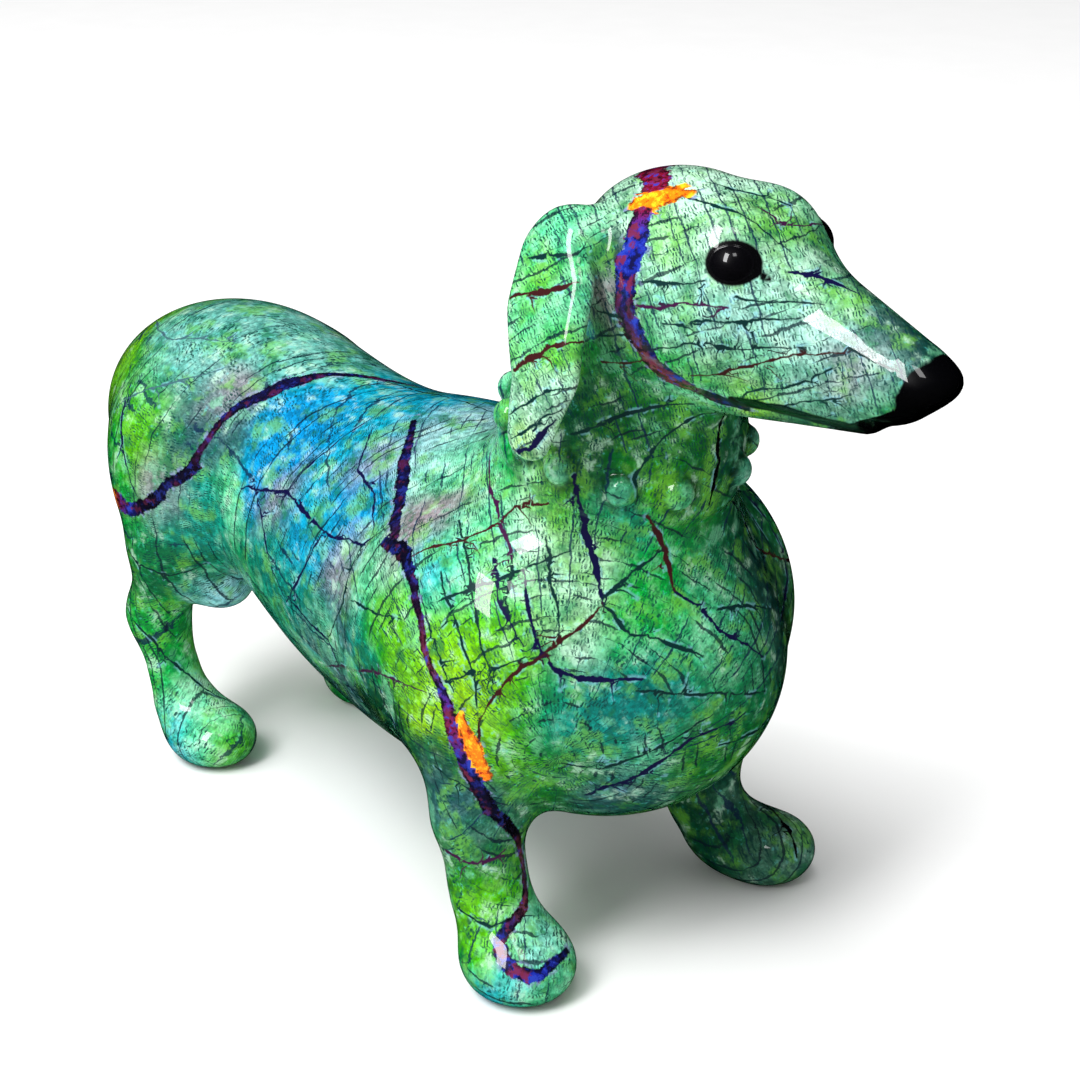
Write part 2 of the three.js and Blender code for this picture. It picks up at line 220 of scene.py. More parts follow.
def overlap(a, b, softness):
    """Where a and b both are, the edge rounded by softness."""
    return -melt(-a, -b, softness)


def carve(a, b, softness):
    """a with b cut out of it."""
    return overlap(a, -b, softness)


def ellipsoid(p, at, half, turn=0):
    q = p - np.array(at, float)
    if turn:
        q = turned(q, turn)
    q = q / np.array(half, float)
    k0 = np.sqrt((q * q).sum(1))
    q /= np.array(half, float)
    k1 = np.sqrt((q * q).sum(1))
    return k0 * (k0 - 1) / np.maximum(k1, 1e-9)


def bone(p, start, end):
    a, ra, b, rb = np.array(start[:3], float), start[3], np.array(end[:3], float), end[3]
    length = np.linalg.norm(b - a)
    axis = (b - a) / length
    slope = (ra - rb) / length
    cosine = math.sqrt(1 - slope * slope)
    q = p - a
    along = q @ axis
    square = (q * q).sum(1)
    off = np.sqrt(np.maximum(square - along * along, 0))
    foot = along - off * slope / cosine
    body = off * cosine + along * slope - ra
    head = np.sqrt((along - length) ** 2 + off * off) - rb
    return np.where(foot <= 0, np.sqrt(square) - ra, np.where(foot >= length, head, body))


def masses(p, parts):
    d = np.full(len(p), FAR)
    for at, half, softness, turn in parts:
        d = melt(d, ellipsoid(p, at, half, turn), softness)
    return d


def chain(p, joints, softness):
    d = np.full(len(p), FAR)
    for start, end in zip(joints, joints[1:]):
        d = melt(d, bone(p, start, end), softness)
    return d


def to_head(p):
    return turned(p - HEAD_AT, HEAD_TURN)


def mirrored(p, side):
    return p * np.array([1, side, 1])


def heading(angle):
    return np.array([math.cos(math.radians(angle)), 0, math.sin(math.radians(angle))])


SEAM_AXIS = heading(SEAM_HEADING)
THROAT_WAY = heading(SEAM_HEADING - 90)


def head_field(p):
    q = to_head(p)
    d = melt(masses(q, SKULL), chain(q, MUZZLE, 0), MUZZLE_MELT)
    d = melt(d, chain(q, LIPS, 0), LIPS_MELT)
    d = melt(d, chain(q, JAW, 0), JAW_MELT)
    return melt(d, ellipsoid(q, *NOSE), NOSE_MELT)


def body_field(p):
    return melt(masses(p, TORSO), chain(p, NECK, NECK_BEND), NECK_MELT)


def core_field(p):
    return melt(body_field(p), head_field(p), HEAD_MELT)


def leg_field(p, leg, side):
    q = mirrored(p, side)
    return melt(chain(q, leg["bones"], LEG_MELT), masses(q, leg["masses"]), LEG_MELT)


def ear_field(p, side):
    q = mirrored(to_head(p), side)
    outline = chain(q * np.array([1, 0, 1]), [(x, 0, z, r) for x, z, r in EAR_OUTLINE], 0)
    t = np.clip((EAR_TOP - q[:, 2]) / EAR_LENGTH, 0, 1)
    middle = EAR_ROOT + EAR_FLARE * np.sin(t * math.pi / 2)
    lean = EAR_FLARE / EAR_LENGTH * math.pi / 2 * np.cos(t * math.pi / 2)
    sheet = np.abs(q[:, 1] - middle) / np.sqrt(1 + lean * lean) - EAR_HALF_THICK
    root = ellipsoid(q, EAR_BASE_AT, EAR_BASE_HALF)
    return melt(overlap(outline, sheet, EAR_EDGE), root, EAR_BASE_MELT)


def tail_field(p):
    return chain(p, TAIL, TAIL_BEND)


def vent_field(p):
    off = np.hypot(p[:, 0] - VENT_X, p[:, 1]) - VENT_RADIUS
    return np.maximum(off, p[:, 2] - VENT_TOP)


def surface_normal(field, p, step=0.05):
    n = np.empty_like(p)
    for axis in range(3):
        shift = np.zeros(3)
        shift[axis] = step
        n[:, axis] = field(p + shift) - field(p - shift)
    return n / np.maximum(np.linalg.norm(n, axis=1, keepdims=True), 1e-9)


def settle(field, p, rounds=2):
    """Moves points on to the skin of a field."""
    for _ in range(rounds):
        p = p - field(p)[:, None] * surface_normal(field, p)
    return p


def cast(field, start, way, limit=60.0, step=0.5, halvings=14):
    """The point where a ray from inside leaves a field."""
    reach = np.arange(0, limit, step)
    outside = field(start + reach[:, None] * way) > 0
    near = reach[max(int(outside.argmax()) - 1, 0)]
    far = near + step
    for _ in range(halvings):
        middle = (near + far) / 2
        if field((start + middle * way)[None])[0] > 0:
            far = middle
        else:
            near = middle
    return start + near * way


def stud_places():
    places = []
    for degrees in STUD_TURNS:
        turn = math.radians(degrees)
        way = math.cos(turn) * THROAT_WAY + math.sin(turn) * np.array([0, 1, 0])
        places.append(cast(core_field, SEAM, way))
    places = np.array(places)
    return places, surface_normal(core_field, places)


STUDS, STUD_NORMALS = stud_places()


def collar_field(p):
    along = np.abs((p - SEAM) @ SEAM_AXIS) - COLLAR_HALF_WIDTH
    near = np.linalg.norm(p - SEAM, axis=1) - COLLAR_REACH
    skin = core_field(p) - COLLAR_THICK
    return overlap(np.maximum(along, near), skin, COLLAR_EDGE)


def stud_field(p, i):
    centre = STUDS[i] + STUD_NORMALS[i] * STUD_OUT
    return np.linalg.norm(p - centre, axis=1) - STUD_RADIUS


def studs_field(p):
    d = np.full(len(p), FAR)
    for i in range(len(STUD_TURNS)):
        d = np.minimum(d, stud_field(p, i))
    return d


PARTS = {
    **{name: (partial(leg_field, leg=leg, side=side), leg["melt"]) for name, (leg, side) in LEGS.items()},
    "tail": (tail_field, TAIL_MELT),
    "right_ear": (partial(ear_field, side=-1), EAR_MELT),
    "left_ear": (partial(ear_field, side=1), EAR_MELT),
    "collar_band": (collar_field, COLLAR_MELT),
}


def dog_field(p):
    d = core_field(p)
    for field, softness in PARTS.values():
        d = melt(d, field(p), softness)
    d = melt(d, studs_field(p), STUD_MELT)
    d = carve(d, vent_field(p), VENT_EDGE)
    return carve(d, p[:, 2], SOLE_EDGE)


# ---- surface nets: one vertex in each cell that the skin passes through, settled on to it ----
CELL = 1.2
BLOCK = 5                      # cells along a block; a block far from the skin is not worked out
BATCH = 1500                   # blocks worked out at a time
SKIN_LOW, SKIN_HIGH = np.array([-150.0, -70.0, -3.6]), np.array([172.0, 70.0, 206.0])


def sampled(field, low, size):
    """The field on a grid of cells; far from the skin, only its sign is right."""
    blocks = [-(-n // BLOCK) for n in size]
    centres = [low[i] + CELL * BLOCK * (np.arange(blocks[i]) + 0.5) for i in range(3)]
    grid = np.stack(np.meshgrid(*centres, indexing="ij"), -1).reshape(-1, 3)
    rough = field(grid)
    near = np.abs(rough) < CELL * BLOCK * 1.5
    values = np.where(rough < 0, -99.0, 99.0).reshape(blocks).astype(np.float32)
    for axis in range(3):
        values = values.repeat(BLOCK, axis)
    corner = np.argwhere(near.reshape(blocks)) * BLOCK
    inner = np.stack(np.meshgrid(*[np.arange(BLOCK)] * 3, indexing="ij"), -1).reshape(-1, 3)
    for part in np.array_split(corner, max(len(corner) // BATCH, 1)):
        index = (part[:, None, :] + inner[None]).reshape(-1, 3)
        found = field(low + CELL * index)
        values[index[:, 0], index[:, 1], index[:, 2]] = found
    return values


def nets(values, low):
    inside = values < 0
    shape = np.array(values.shape) - 1
    corners = [(i, j, k) for i in (0, 1) for j in (0, 1) for k in (0, 1)]
    count = np.zeros(shape, np.int8)
    for c in corners:
        count += inside[c[0]:shape[0] + c[0], c[1]:shape[1] + c[1], c[2]:shape[2] + c[2]]
    cells = np.argwhere((count > 0) & (count < 8))
    number = np.full(shape, -1, np.int64)
    number[tuple(cells.T)] = np.arange(len(cells))
    total, hits = np.zeros((len(cells), 3)), np.zeros(len(cells))
    for a in range(8):
        for b in range(a + 1, 8):
            ca, cb = np.array(corners[a]), np.array(corners[b])
            if np.abs(ca - cb).sum() != 1:
                continue
            va, vb = values[tuple((cells + ca).T)], values[tuple((cells + cb).T)]
            crosses = (va < 0) != (vb < 0)
            t = np.where(crosses, va / np.where(crosses, va - vb, 1), 0)
            total += np.where(crosses[:, None], ca + t[:, None] * (cb - ca), 0)
            hits += crosses
    points = low + CELL * (cells + total / hits[:, None])
    quads = []
    for axis in range(3):
        first, second = [slice(None)] * 3, [slice(None)] * 3
        first[axis], second[axis] = slice(0, -1), slice(1, None)
        edge = np.argwhere(inside[tuple(first)] != inside[tuple(second)])
        u, v = [i for i in range(3) if i != axis]
        edge = edge[(edge[:, u] > 0) & (edge[:, v] > 0)]
        ring = []
        for du, dv in ((1, 1), (0, 1), (0, 0), (1, 0)):
            cell = edge.copy()
            cell[:, u] -= du
            cell[:, v] -= dv
            ring.append(number[tuple(cell.T)])
        ring = np.stack(ring, 1)
        flip = inside[tuple(edge.T)] != (axis == 1)
        ring[~flip] = ring[~flip][:, ::-1]
        quads.append(ring)
    return points, np.concatenate(quads)


def dog_skin():
    size = np.ceil((SKIN_HIGH - SKIN_LOW) / CELL / BLOCK).astype(int) * BLOCK
    points, quads = nets(sampled(dog_field, SKIN_LOW, size), SKIN_LOW)
    points = settle(dog_field, points)
    return points, quads, surface_normal(dog_field, points)


points, quads, normals = dog_skin()


# ---- which piece each face belongs to ----
def piece_of_faces(centres):
    names = ["body_casting", "head_casting", *PARTS]
    core = core_field(centres)
    above = (centres - SEAM) @ SEAM_AXIS > 0
    fields = [np.where(above, FAR, core), np.where(above, core, FAR)]
    fields += [field(centres) for field, _ in PARTS.values()]
    for i in range(len(STUD_TURNS)):
        names.append(f"collar_stud_{i + 1:02d}")
        fields.append(stud_field(centres, i))
    return names, np.argmin(np.stack(fields), 0)


SHELL_THICK = {"body_casting": 3.0, "head_casting": 2.0, "right_ear": 1.2, "left_ear": 1.2, "tail": 1.5,
               "collar_band": 1.0}
STUD_THICK = 2.0               # studs and legs


def shell(name, outer, faces, outer_normals, thick):
    """A closed piece: a patch of skin, the same patch set back, and a rim between them."""
    used, local = np.unique(faces, return_inverse=True)
    faces = local.reshape(-1, 4)
    skin, normal = outer[used], outer_normals[used]
    count = len(skin)
    edges = np.concatenate([faces[:, [i, (i + 1) % 4]] for i in range(4)])
    keys = edges[:, 0] * count + edges[:, 1]
    back = edges[:, 1] * count + edges[:, 0]
    rim = edges[~np.isin(keys, back)]
    sides = np.stack([rim[:, 1], rim[:, 0], rim[:, 0] + count, rim[:, 1] + count], 1)
    all_points = np.concatenate([skin, skin - normal * thick])
    all_faces = np.concatenate([faces, faces[:, ::-1] + count, sides])
    mesh = bpy.data.meshes.new(name)
    mesh.vertices.add(len(all_points))
    mesh.vertices.foreach_set("co", in_frame(all_points).ravel())
    mesh.loops.add(len(all_faces) * 4)
    mesh.loops.foreach_set("vertex_index", all_faces.ravel())
    mesh.polygons.add(len(all_faces))
    mesh.polygons.foreach_set("loop_start", np.arange(0, len(all_faces) * 4, 4))
    mesh.polygons.foreach_set("loop_total", np.full(len(all_faces), 4))
    mesh.update()
    mesh.validate()
    mesh.polygons.foreach_set("use_smooth", np.ones(len(mesh.polygons), bool))
    mesh.normals_split_custom_set_from_vertices(np.concatenate([normal, -normal]))
    return placed(name, mesh), used


# ---- the print: value noise, so that edges and tones wander ----
STIRS = np.array([374761393, 668265263, 2147483647])
SEED_STIR = 144665
LAST_STIR = 1274126177
POSITIVE = 0x7FFFFFFF


def lattice(cell, seed):
    """A number from -1 to 1 for each whole-numbered cell, always the same for the same seed."""
    h = (cell @ STIRS + seed * SEED_STIR) & POSITIVE
    h = ((h ^ (h >> 13)) * LAST_STIR) & POSITIVE
    return ((h ^ (h >> 16)) & 0xFFFF) / 32767.5 - 1


def wander(p, size, seed):
    """Smooth noise from -1 to 1 with features of about the given size."""
    q = p / size
    cell = np.floor(q).astype(np.int64)
    t = q - cell
    t = t * t * (3 - 2 * t)
    total = np.zeros(len(p))
    for i in (0, 1):
        for j in (0, 1):
            for k in (0, 1):
                weight = np.where(i, t[:, 0], 1 - t[:, 0]) * np.where(j, t[:, 1], 1 - t[:, 1])
                weight = weight * np.where(k, t[:, 2], 1 - t[:, 2])
                total += weight * lattice(cell + np.array([i, j, k]), seed)
    return total


def wander3(p, size, seed):
    return np.stack([wander(p, size, seed + i) for i in range(3)], 1)


def linear(colour):
    c = np.array(colour, float) / 255
    return np.where(c < 0.04045, c / 12.92, ((c + 0.055) / 1.055) ** 2.4)


# ---- the grain: growth rings round a pith on the breast, and a second sheet for the head ----
PITH = np.array([93, -38, 66])
PITH_AXIS = np.array([0.71, -0.61, -0.35])
PITH_EAST = unit(np.cross([0, 0, 1], PITH_AXIS))
PITH_NORTH = np.cross(PITH_AXIS, PITH_EAST)
FACE_SLOPE = 0.434
EAR_SLOPE = 0.64
HEAD_SHEET = ("head_casting", "right_ear", "left_ear")


def grain(name, p):
    """Where a point lies on its sheet of end grain: east and north of the pith, and its ring."""
    if name in HEAD_SHEET:
        slope = FACE_SLOPE if name == "head_casting" else EAR_SLOPE
        q = to_head(p)
        scale = math.hypot(1, slope)
        ring = (q[:, 2] - slope * q[:, 0]) / scale + 1.6 * wander(p, 17, 5)
        east = (q[:, 0] + slope * q[:, 2]) / scale + q[:, 1]
        return np.stack([east, np.zeros(len(p)), ring], 1)
    d = p - PITH
    ring = np.linalg.norm(d, axis=1) + 1.8 * wander(p, 22, 9)
    return np.stack([d @ PITH_EAST, d @ PITH_NORTH, ring], 1)


# ---- the tones: soft patches of colour, each with a place (x, y, z), a reach and a tone ----
MINT, PALE, CYAN, SKY = (126, 214, 166), (186, 228, 202), (60, 170, 204), (42, 142, 206)
GREEN, LEAF, LIME, DEEP = (70, 170, 86), (108, 190, 54), (152, 206, 34), (20, 76, 46)
FERN, AQUA, DUSK, HAZE = (26, 116, 66), (90, 196, 200), (14, 38, 50), (146, 202, 178)
# the last pale mint on the next line is only the colour of the painted highlight on the bead tops
MOSS, MIST, STEEL, PAINTED_HIGHLIGHT_MINT = (66, 132, 62), (118, 180, 170), (52, 94, 112), (124, 204, 174)
TEAL, MAUVE, SLATE = (40, 148, 132), (150, 134, 146), (60, 96, 104)
BREATH, CLOUD, FROST, ICE = (158, 204, 196), (150, 190, 196), (176, 224, 234), (150, 208, 220)
PEARL, POOL, SAGE, SPRING = (150, 198, 190), (34, 120, 116), (90, 132, 116), (150, 206, 110)
# Most tones are the print's colours; those marked below as painted shadow or shade stand in for shade.
TONES = [
    # head
    (119, -18, 178, 12, HAZE), (131, -12, 173, 13, BREATH), (145, -6, 172, 12, PEARL),
    (136, -5, 181, 10, PALE), (116, -14, 192, 14, PALE), (108, 6, 198, 16, PALE), (97, -4, 198, 12, PALE),
    (124, -2, 192, 9, LEAF), (110, -14, 188, 7, LEAF), (141, -1, 182, 6, LEAF), (134, 9, 186, 9, DEEP),
    (150, 8, 176, 9, DEEP), (156, 3, 172, 8, DUSK), (148, 14, 166, 14, DEEP), (151, 1, 175, 6, DUSK),
    # painted shadow of the near ear on the cheek and neck: (92, -21, 184), (97, -26, 150), (97, -24, 162)
    (92, -21, 184, 5, DUSK), (97, -26, 150, 9, DEEP), (97, -24, 162, 6, DEEP), (125, -11, 157, 10, SPRING),
    (122, -8, 154, 5, LIME), (140, -5, 160, 10, HAZE), (110, -20, 166, 9, GREEN), (93, -19, 172, 9, MAUVE),
    # painted shade under the jaw: the deep green at (135, 4, 150)
    (92, -18, 162, 10, GREEN), (120, 20, 178, 16, MINT), (112, -12, 154, 9, MINT), (135, 4, 150, 12, DEEP),
    (131, -10, 166, 6, MINT), (148, -4, 166, 6, MAUVE),
    # ears
    (83, -28, 187, 8, MINT), (90, -35, 176, 10, MINT), (92, -38, 165, 8, LEAF), (93, -42, 150, 13, PALE),
    (88, -38, 160, 6, GREEN), (84, -32, 180, 6, LEAF), (88, -43, 146, 5, LIME), (83, 30, 180, 14, MINT),
    (90, 40, 155, 14, LEAF),
    # neck, collar and breast
    # painted shadow under the near ear: the deep green at (91, -21, 140)
    (91, -21, 140, 14, DEEP), (100, -12, 140, 14, MOSS), (103, -2, 123, 10, MOSS), (95, -19, 121, 9, TEAL),
    (103, -10, 110, 12, GREEN), (103, 5, 106, 13, FERN), (112, 0, 95, 15, MINT), (88, -25, 119, 10, LEAF),
    # painted shade under the jaw (106, 6, 132), (106, 12, 116) and on the far side (108, 25, 90), (85, 22,
    # 125)
    (100, -10, 128, 7, LEAF), (106, 6, 132, 12, DEEP), (106, 12, 116, 12, DEEP), (108, 25, 90, 18, DUSK),
    (102, 38, 78, 16, MOSS), (85, 22, 125, 18, DEEP),
    # shoulder
    (79, -49, 95, 16, LEAF), (67, -44, 110, 13, MINT), (85, -42, 100, 11, LEAF), (85, -29, 111, 12, PALE),
    (74, -52, 80, 14, LIME), (62, -50, 108, 9, CYAN), (100, -18, 102, 12, GREEN), (94, -36, 96, 10, PALE),
    (90, -48, 80, 10, LEAF), (85, -44, 108, 8, MINT),
    # breast, lower
    (95, -39, 77, 12, TEAL), (90, -36, 58, 12, MOSS), (100, -25, 55, 13, SLATE), (111, -9, 62, 15, MOSS),
    (107, -25, 76, 14, POOL), (112, 0, 78, 15, FERN), (88, -48, 64, 12, LEAF), (104, -20, 66, 10, MINT),
    # flank and back
    (-27, -23, 114, 15, SKY), (0, -36, 104, 17, CYAN), (-12, -42, 86, 15, TEAL), (32, -49, 96, 12, MINT),
    (56, -55, 87, 12, LEAF), (38, -51, 80, 10, TEAL), (22, -49, 84, 11, STEEL), (27, -14, 122, 15, CLOUD),
    (-2, -1, 123, 18, CYAN), (17, -4, 124, 12, CLOUD), (-18, -36, 98, 11, MAUVE), (14, -38, 106, 11, SKY),
    (20, -44, 94, 9, MAUVE), (-30, -34, 96, 9, SKY), (12, -44, 66, 14, SLATE), (40, -48, 62, 14, DEEP),
    (44, -40, 112, 13, MAUVE), (8, -30, 112, 9, MAUVE), (15, -47, 73, 9, MINT), (-6, -42, 94, 9, SKY),
    (40, -20, 124, 14, MINT), (-5, 30, 110, 30, CYAN), (30, 45, 90, 26, GREEN), (-20, 0, 45, 30, TEAL),
    # rump and hind legs
    (-76, -14, 127, 20, MIST), (-90, -27, 120, 14, MIST), (-78, -38, 104, 12, LEAF),
    (-92, -32, 112, 10, LEAF), (-63, -34, 108, 17, SLATE), (-60, -38, 84, 13, TEAL),
    (-44, -36, 92, 10, MINT), (-112, -24, 100, 16, LEAF), (-95, -36, 86, 12, GREEN),
    (-70, -38, 92, 10, MAUVE), (-60, -24, 118, 9, MAUVE), (-60, 10, 130, 24, MIST),
    (-72, -38, 62, 12, FERN), (-84, -36, 30, 12, GREEN), (-72, -32, 15, 13, MINT),
    (-120, -8, 108, 14, LIME), (-100, -34, 60, 12, MOSS), (-74, -30, 22, 6, PALE), (-63, -29, 10, 7, LEAF),
    (-76, -38, 8, 7, CYAN), (-67, -27, 56, 8, ICE), (-85, 30, 30, 20, GREEN), (-100, 30, 95, 26, LEAF),
    # front legs
    (72, -51, 51, 12, SLATE), (76, -50, 33, 11, MOSS), (81, -51, 22, 9, LEAF), (91, -42, 16, 11, MINT),
    # painted shade on the far foreleg: deep green at (77, 25, 16) and dusk at (72, 36, 44)
    (77, 25, 16, 19, DEEP), (92, 36, 15, 13, SAGE), (72, 36, 44, 27, DUSK), (84, -46, 8, 8, CYAN),
    (91, -45, 18, 8, FROST), (74, -45, 58, 9, DEEP),
]


TONE_FALL = 1.6                # how steeply a tone fades towards its reach
TONE_BASE = 0.02               # the weight of plain green, where no tone reaches
BEAD_PAINTED_HIGHLIGHT = 0.45              # painted highlight: how much paler the top of a bead is painted, as if lit from above
BEAD_PAINTED_SHADE = 0.6               # painted shade: how much darker the skin is painted in the crease round a bead


def tones(p):
    """The blend of the tones near each point, with a painted highlight on top of each bead and painted shade
    round it.
    """
    q = p + 4.5 * wander3(p, 13, 30) + 2.2 * wander3(p, 5, 60)
    total = np.full(len(p), TONE_BASE)
    colour = total[:, None] * linear(GREEN)
    for x, y, z, reach, ink in TONES:
        weight = np.exp(-TONE_FALL * ((q - np.array([x, y, z])) ** 2).sum(1) / reach ** 2)
        total += weight
        colour += weight[:, None] * linear(ink)
    height, bead = core_field(p), studs_field(p)
    # painted highlight in pale mint on the bead tops, and painted shade in the crease round each bead
    top = (BEAD_PAINTED_HIGHLIGHT * ((height - 1.8) / 2).clip(0, 1) * (bead < 0.8))[:, None]
    painted_shade = (BEAD_PAINTED_SHADE * np.exp(-(bead / 1.3) ** 2) * (height < 2.4))[:, None]
    return (colour / total[:, None] * (1 - painted_shade)) * (1 - top) + top * linear(PAINTED_HIGHLIGHT_MINT)


# ---- the cracks: lines over the skin, each with a half width, an ink and its turning points ----
NAVY, UMBER, PINE, PLUM, INK = (14, 14, 58), (58, 22, 24), (8, 44, 44), (60, 20, 60), (6, 8, 12)
CRACKS = [
    # breast
    (1.15, NAVY, [(87, -26, 131), (88, -25, 123), (89, -24, 115), (95, -25, 102)]),
    (0.65, UMBER, [(95, -25, 102), (93, -32, 97), (91, -40, 93), (88, -45, 90), (85, -49, 84),
                   (80, -51, 75)]),
    (0.7, NAVY, [(90, -41, 94), (93, -38, 88), (97, -33, 86), (106, -24, 86)]),
    (0.55, PINE, [(95, -25, 102), (101, -23, 96), (111, -9, 89)]),
    (0.5, PINE, [(95, -25, 103), (97, -18, 108), (99, -11, 112)]),
    (0.7, UMBER, [(99, -14, 121), (99, -10, 112), (103, -10, 103)]),
    (0.6, NAVY, [(103, -10, 103), (106, -7, 100), (110, -2, 93), (112, 2, 90), (112, 10, 83)]),
    (0.75, NAVY, [(93, -29, 53), (102, -25, 59), (112, -13, 69), (114, 2, 71)]),
    (0.4, PINE, [(93, -37, 64), (99, -30, 62), (106, -24, 66), (113, -8, 74)]),
    (0.4, PINE, [(106, -24, 83), (113, -11, 80), (113, 10, 74)]),
    (0.5, UMBER, [(80, -51, 75), (80, -50, 70), (76, -52, 68)]),
    (0.4, PINE, [(112, 0, 99), (110, 10, 96), (109, 20, 92)]),
    (0.4, PINE, [(114, -4, 64), (112, 12, 62), (108, 22, 66)]),
    # shoulder
    (0.6, PLUM, [(53, -23, 127), (68, -33, 117), (77, -37, 111)]),
    (0.45, PINE, [(77, -37, 111), (81, -43, 104), (87, -45, 96)]),
    (0.4, PINE, [(58, -37, 115), (70, -44, 108), (75, -47, 103), (84, -50, 86)]),
    (0.5, NAVY, [(74, -40, 111), (80, -44, 104), (88, -44, 95)]),
    (0.55, NAVY, [(80, -36, 109), (85, -40, 102), (91, -41, 94)]),
    (0.4, PINE, [(81, -30, 115), (86, -33, 107), (92, -36, 96)]),
    (0.35, PINE, [(64, -47, 106), (74, -51, 96), (80, -52, 84), (80, -51, 76)]),
    (0.35, PINE, [(58, -50, 104), (68, -54, 93), (74, -54, 82)]),
    (0.6, UMBER, [(53, -47, 108), (63, -41, 113), (72, -30, 121), (78, -24, 123)]),
    (0.4, PINE, [(67, -51, 102), (75, -45, 106), (80, -37, 110), (86, -28, 113)]),
    (0.35, PINE, [(72, -53, 84), (80, -50, 88), (88, -43, 92)]),
    # flank and back
    (0.6, NAVY, [(-38, -35, 97), (-17, -35, 102), (7, -41, 99), (26, -42, 101), (34, -40, 108)]),
    (0.55, PLUM, [(8, -44, 62), (44, -54, 77), (65, -55, 79)]),
    (0.45, NAVY, [(-6, -44, 77), (15, -47, 73), (22, -43, 57)]),
    (0.4, NAVY, [(-34, -34, 100), (-25, -38, 92), (-18, -41, 84), (-8, -44, 76)]),
    (0.4, NAVY, [(-1, -18, 119), (8, -29, 113), (21, -34, 110), (28, -40, 104)]),
    (0.4, NAVY, [(7, -41, 99), (2, -42, 88), (-6, -44, 77)]),
    (0.4, NAVY, [(-17, -35, 102), (-10, -26, 112), (-6, -14, 120)]),
    (0.4, PINE, [(26, -42, 101), (24, -50, 88), (15, -48, 74)]),
    (0.4, PINE, [(44, -54, 77), (50, -50, 64), (48, -44, 54)]),
    (0.35, PINE, [(30, -50, 90), (44, -53, 92), (55, -53, 94)]),
    (0.4, PINE, [(-34, 0, 122), (-22, 7, 120), (7, 5, 123), (30, 2, 126)]),
    # rump and hind legs
    (0.45, NAVY, [(-95, -30, 112), (-88, -42, 98), (-80, -44, 86)]),
    (0.35, SLATE, [(-112, -10, 118), (-92, -20, 122), (-70, -14, 127)]),
    (0.35, SLATE, [(-98, -34, 104), (-80, -32, 116), (-64, -20, 122)]),
    (0.4, PINE, [(-88, -42, 66), (-73, -40, 61), (-62, -36, 64)]),
    (0.4, PINE, [(-94, -38, 44), (-86, -40, 36), (-80, -32, 26), (-76, -26, 16)]),
    # face
    (0.75, NAVY, [(133, -4, 184), (138, 1, 183), (143, 4, 180)]),
    (0.39, PLUM, [(120, -1, 194), (126, 1, 192), (125, 13, 190)]),
    (0.39, PINE, [(105, -22, 180), (112, -20, 181), (119, -17, 182)]),
    (0.43, PLUM, [(105, -23, 175), (111, -21, 175), (117, -19, 177), (124, -15, 177)]),
    (0.35, PINE, [(112, -20, 172), (120, -17, 174), (131, -12, 174), (138, -8, 176)]),
    (0.35, PINE, [(106, -22, 165), (113, -20, 167), (120, -19, 169), (131, -12, 168), (140, -8, 170)]),
    (0.43, UMBER, [(116, -16, 161), (126, -13, 163), (139, -8, 168), (149, -5, 170)]),
    (0.39, PINE, [(120, -8, 153), (127, -9, 157), (135, -7, 160), (146, -6, 166)]),
    (0.31, PINE, [(133, -6, 154), (142, -4, 158), (150, -4, 161)]),
    (0.39, PINE, [(92, -21, 171), (98, -22, 171), (103, -23, 172)]),
    (0.39, UMBER, [(90, -20, 158), (100, -20, 160), (107, -21, 163)]),
    (0.31, PINE, [(91, -20, 165), (98, -21, 167), (105, -22, 168)]),
    (0.27, PINE, [(126, -13, 179), (134, -8, 179), (141, -4, 179)]),
    (0.35, PINE, [(103, -8, 197), (108, -9, 196), (116, -8, 194), (124, -5, 191), (130, -2, 188)]),
    (0.31, PINE, [(106, -2, 199), (112, 1, 197), (121, 7, 195)]),
    (0.31, PINE, [(98, 6, 199), (108, 12, 197), (118, 16, 193)]),
    (0.31, PINE, [(150, -4, 171), (156, -3, 169), (161, -2, 168)]),
    # neck
    (0.6, PINE, [(85, -24, 141), (92, -20, 144), (100, -14, 148), (106, -8, 149)]),
    (0.6, PINE, [(95, -18, 128), (99, -14, 136), (103, -8, 144), (108, 0, 148)]),
    (0.8, INK, [(104, 2, 122), (105, 3, 132), (107, 3, 142), (110, 3, 150)]),
    # ears
    (1.0, UMBER, [(84, -40, 160), (89, -38, 163), (93, -36, 166), (97, -32, 167)]),
    (0.7, UMBER, [(77, -35, 174), (85, -33, 176), (93, -30, 179)]),
    (0.6, PINE, [(79, -30, 182), (86, -28, 183), (92, -26, 184)]),
    (0.7, NAVY, [(88, -43, 142), (92, -42, 145), (96, -40, 150)]),
    (0.4, PINE, [(84, -43, 150), (91, -41, 155), (97, -37, 158)]),
    (0.4, PINE, [(86, -44, 145), (92, -42, 149), (97, -39, 153)]),
    # legs
    (0.6, PLUM, [(68, -53, 36), (74, -51, 34), (79, -44, 37)]),
    (0.4, PINE, [(72, -52, 22), (81, -51, 20), (85, -41, 21)]),
    (0.4, PINE, [(66, -54, 58), (74, -52, 54), (79, -45, 52)]),
    (0.6, INK, [(84, 44, 16), (92, 42, 15), (98, 40, 11)]),
]
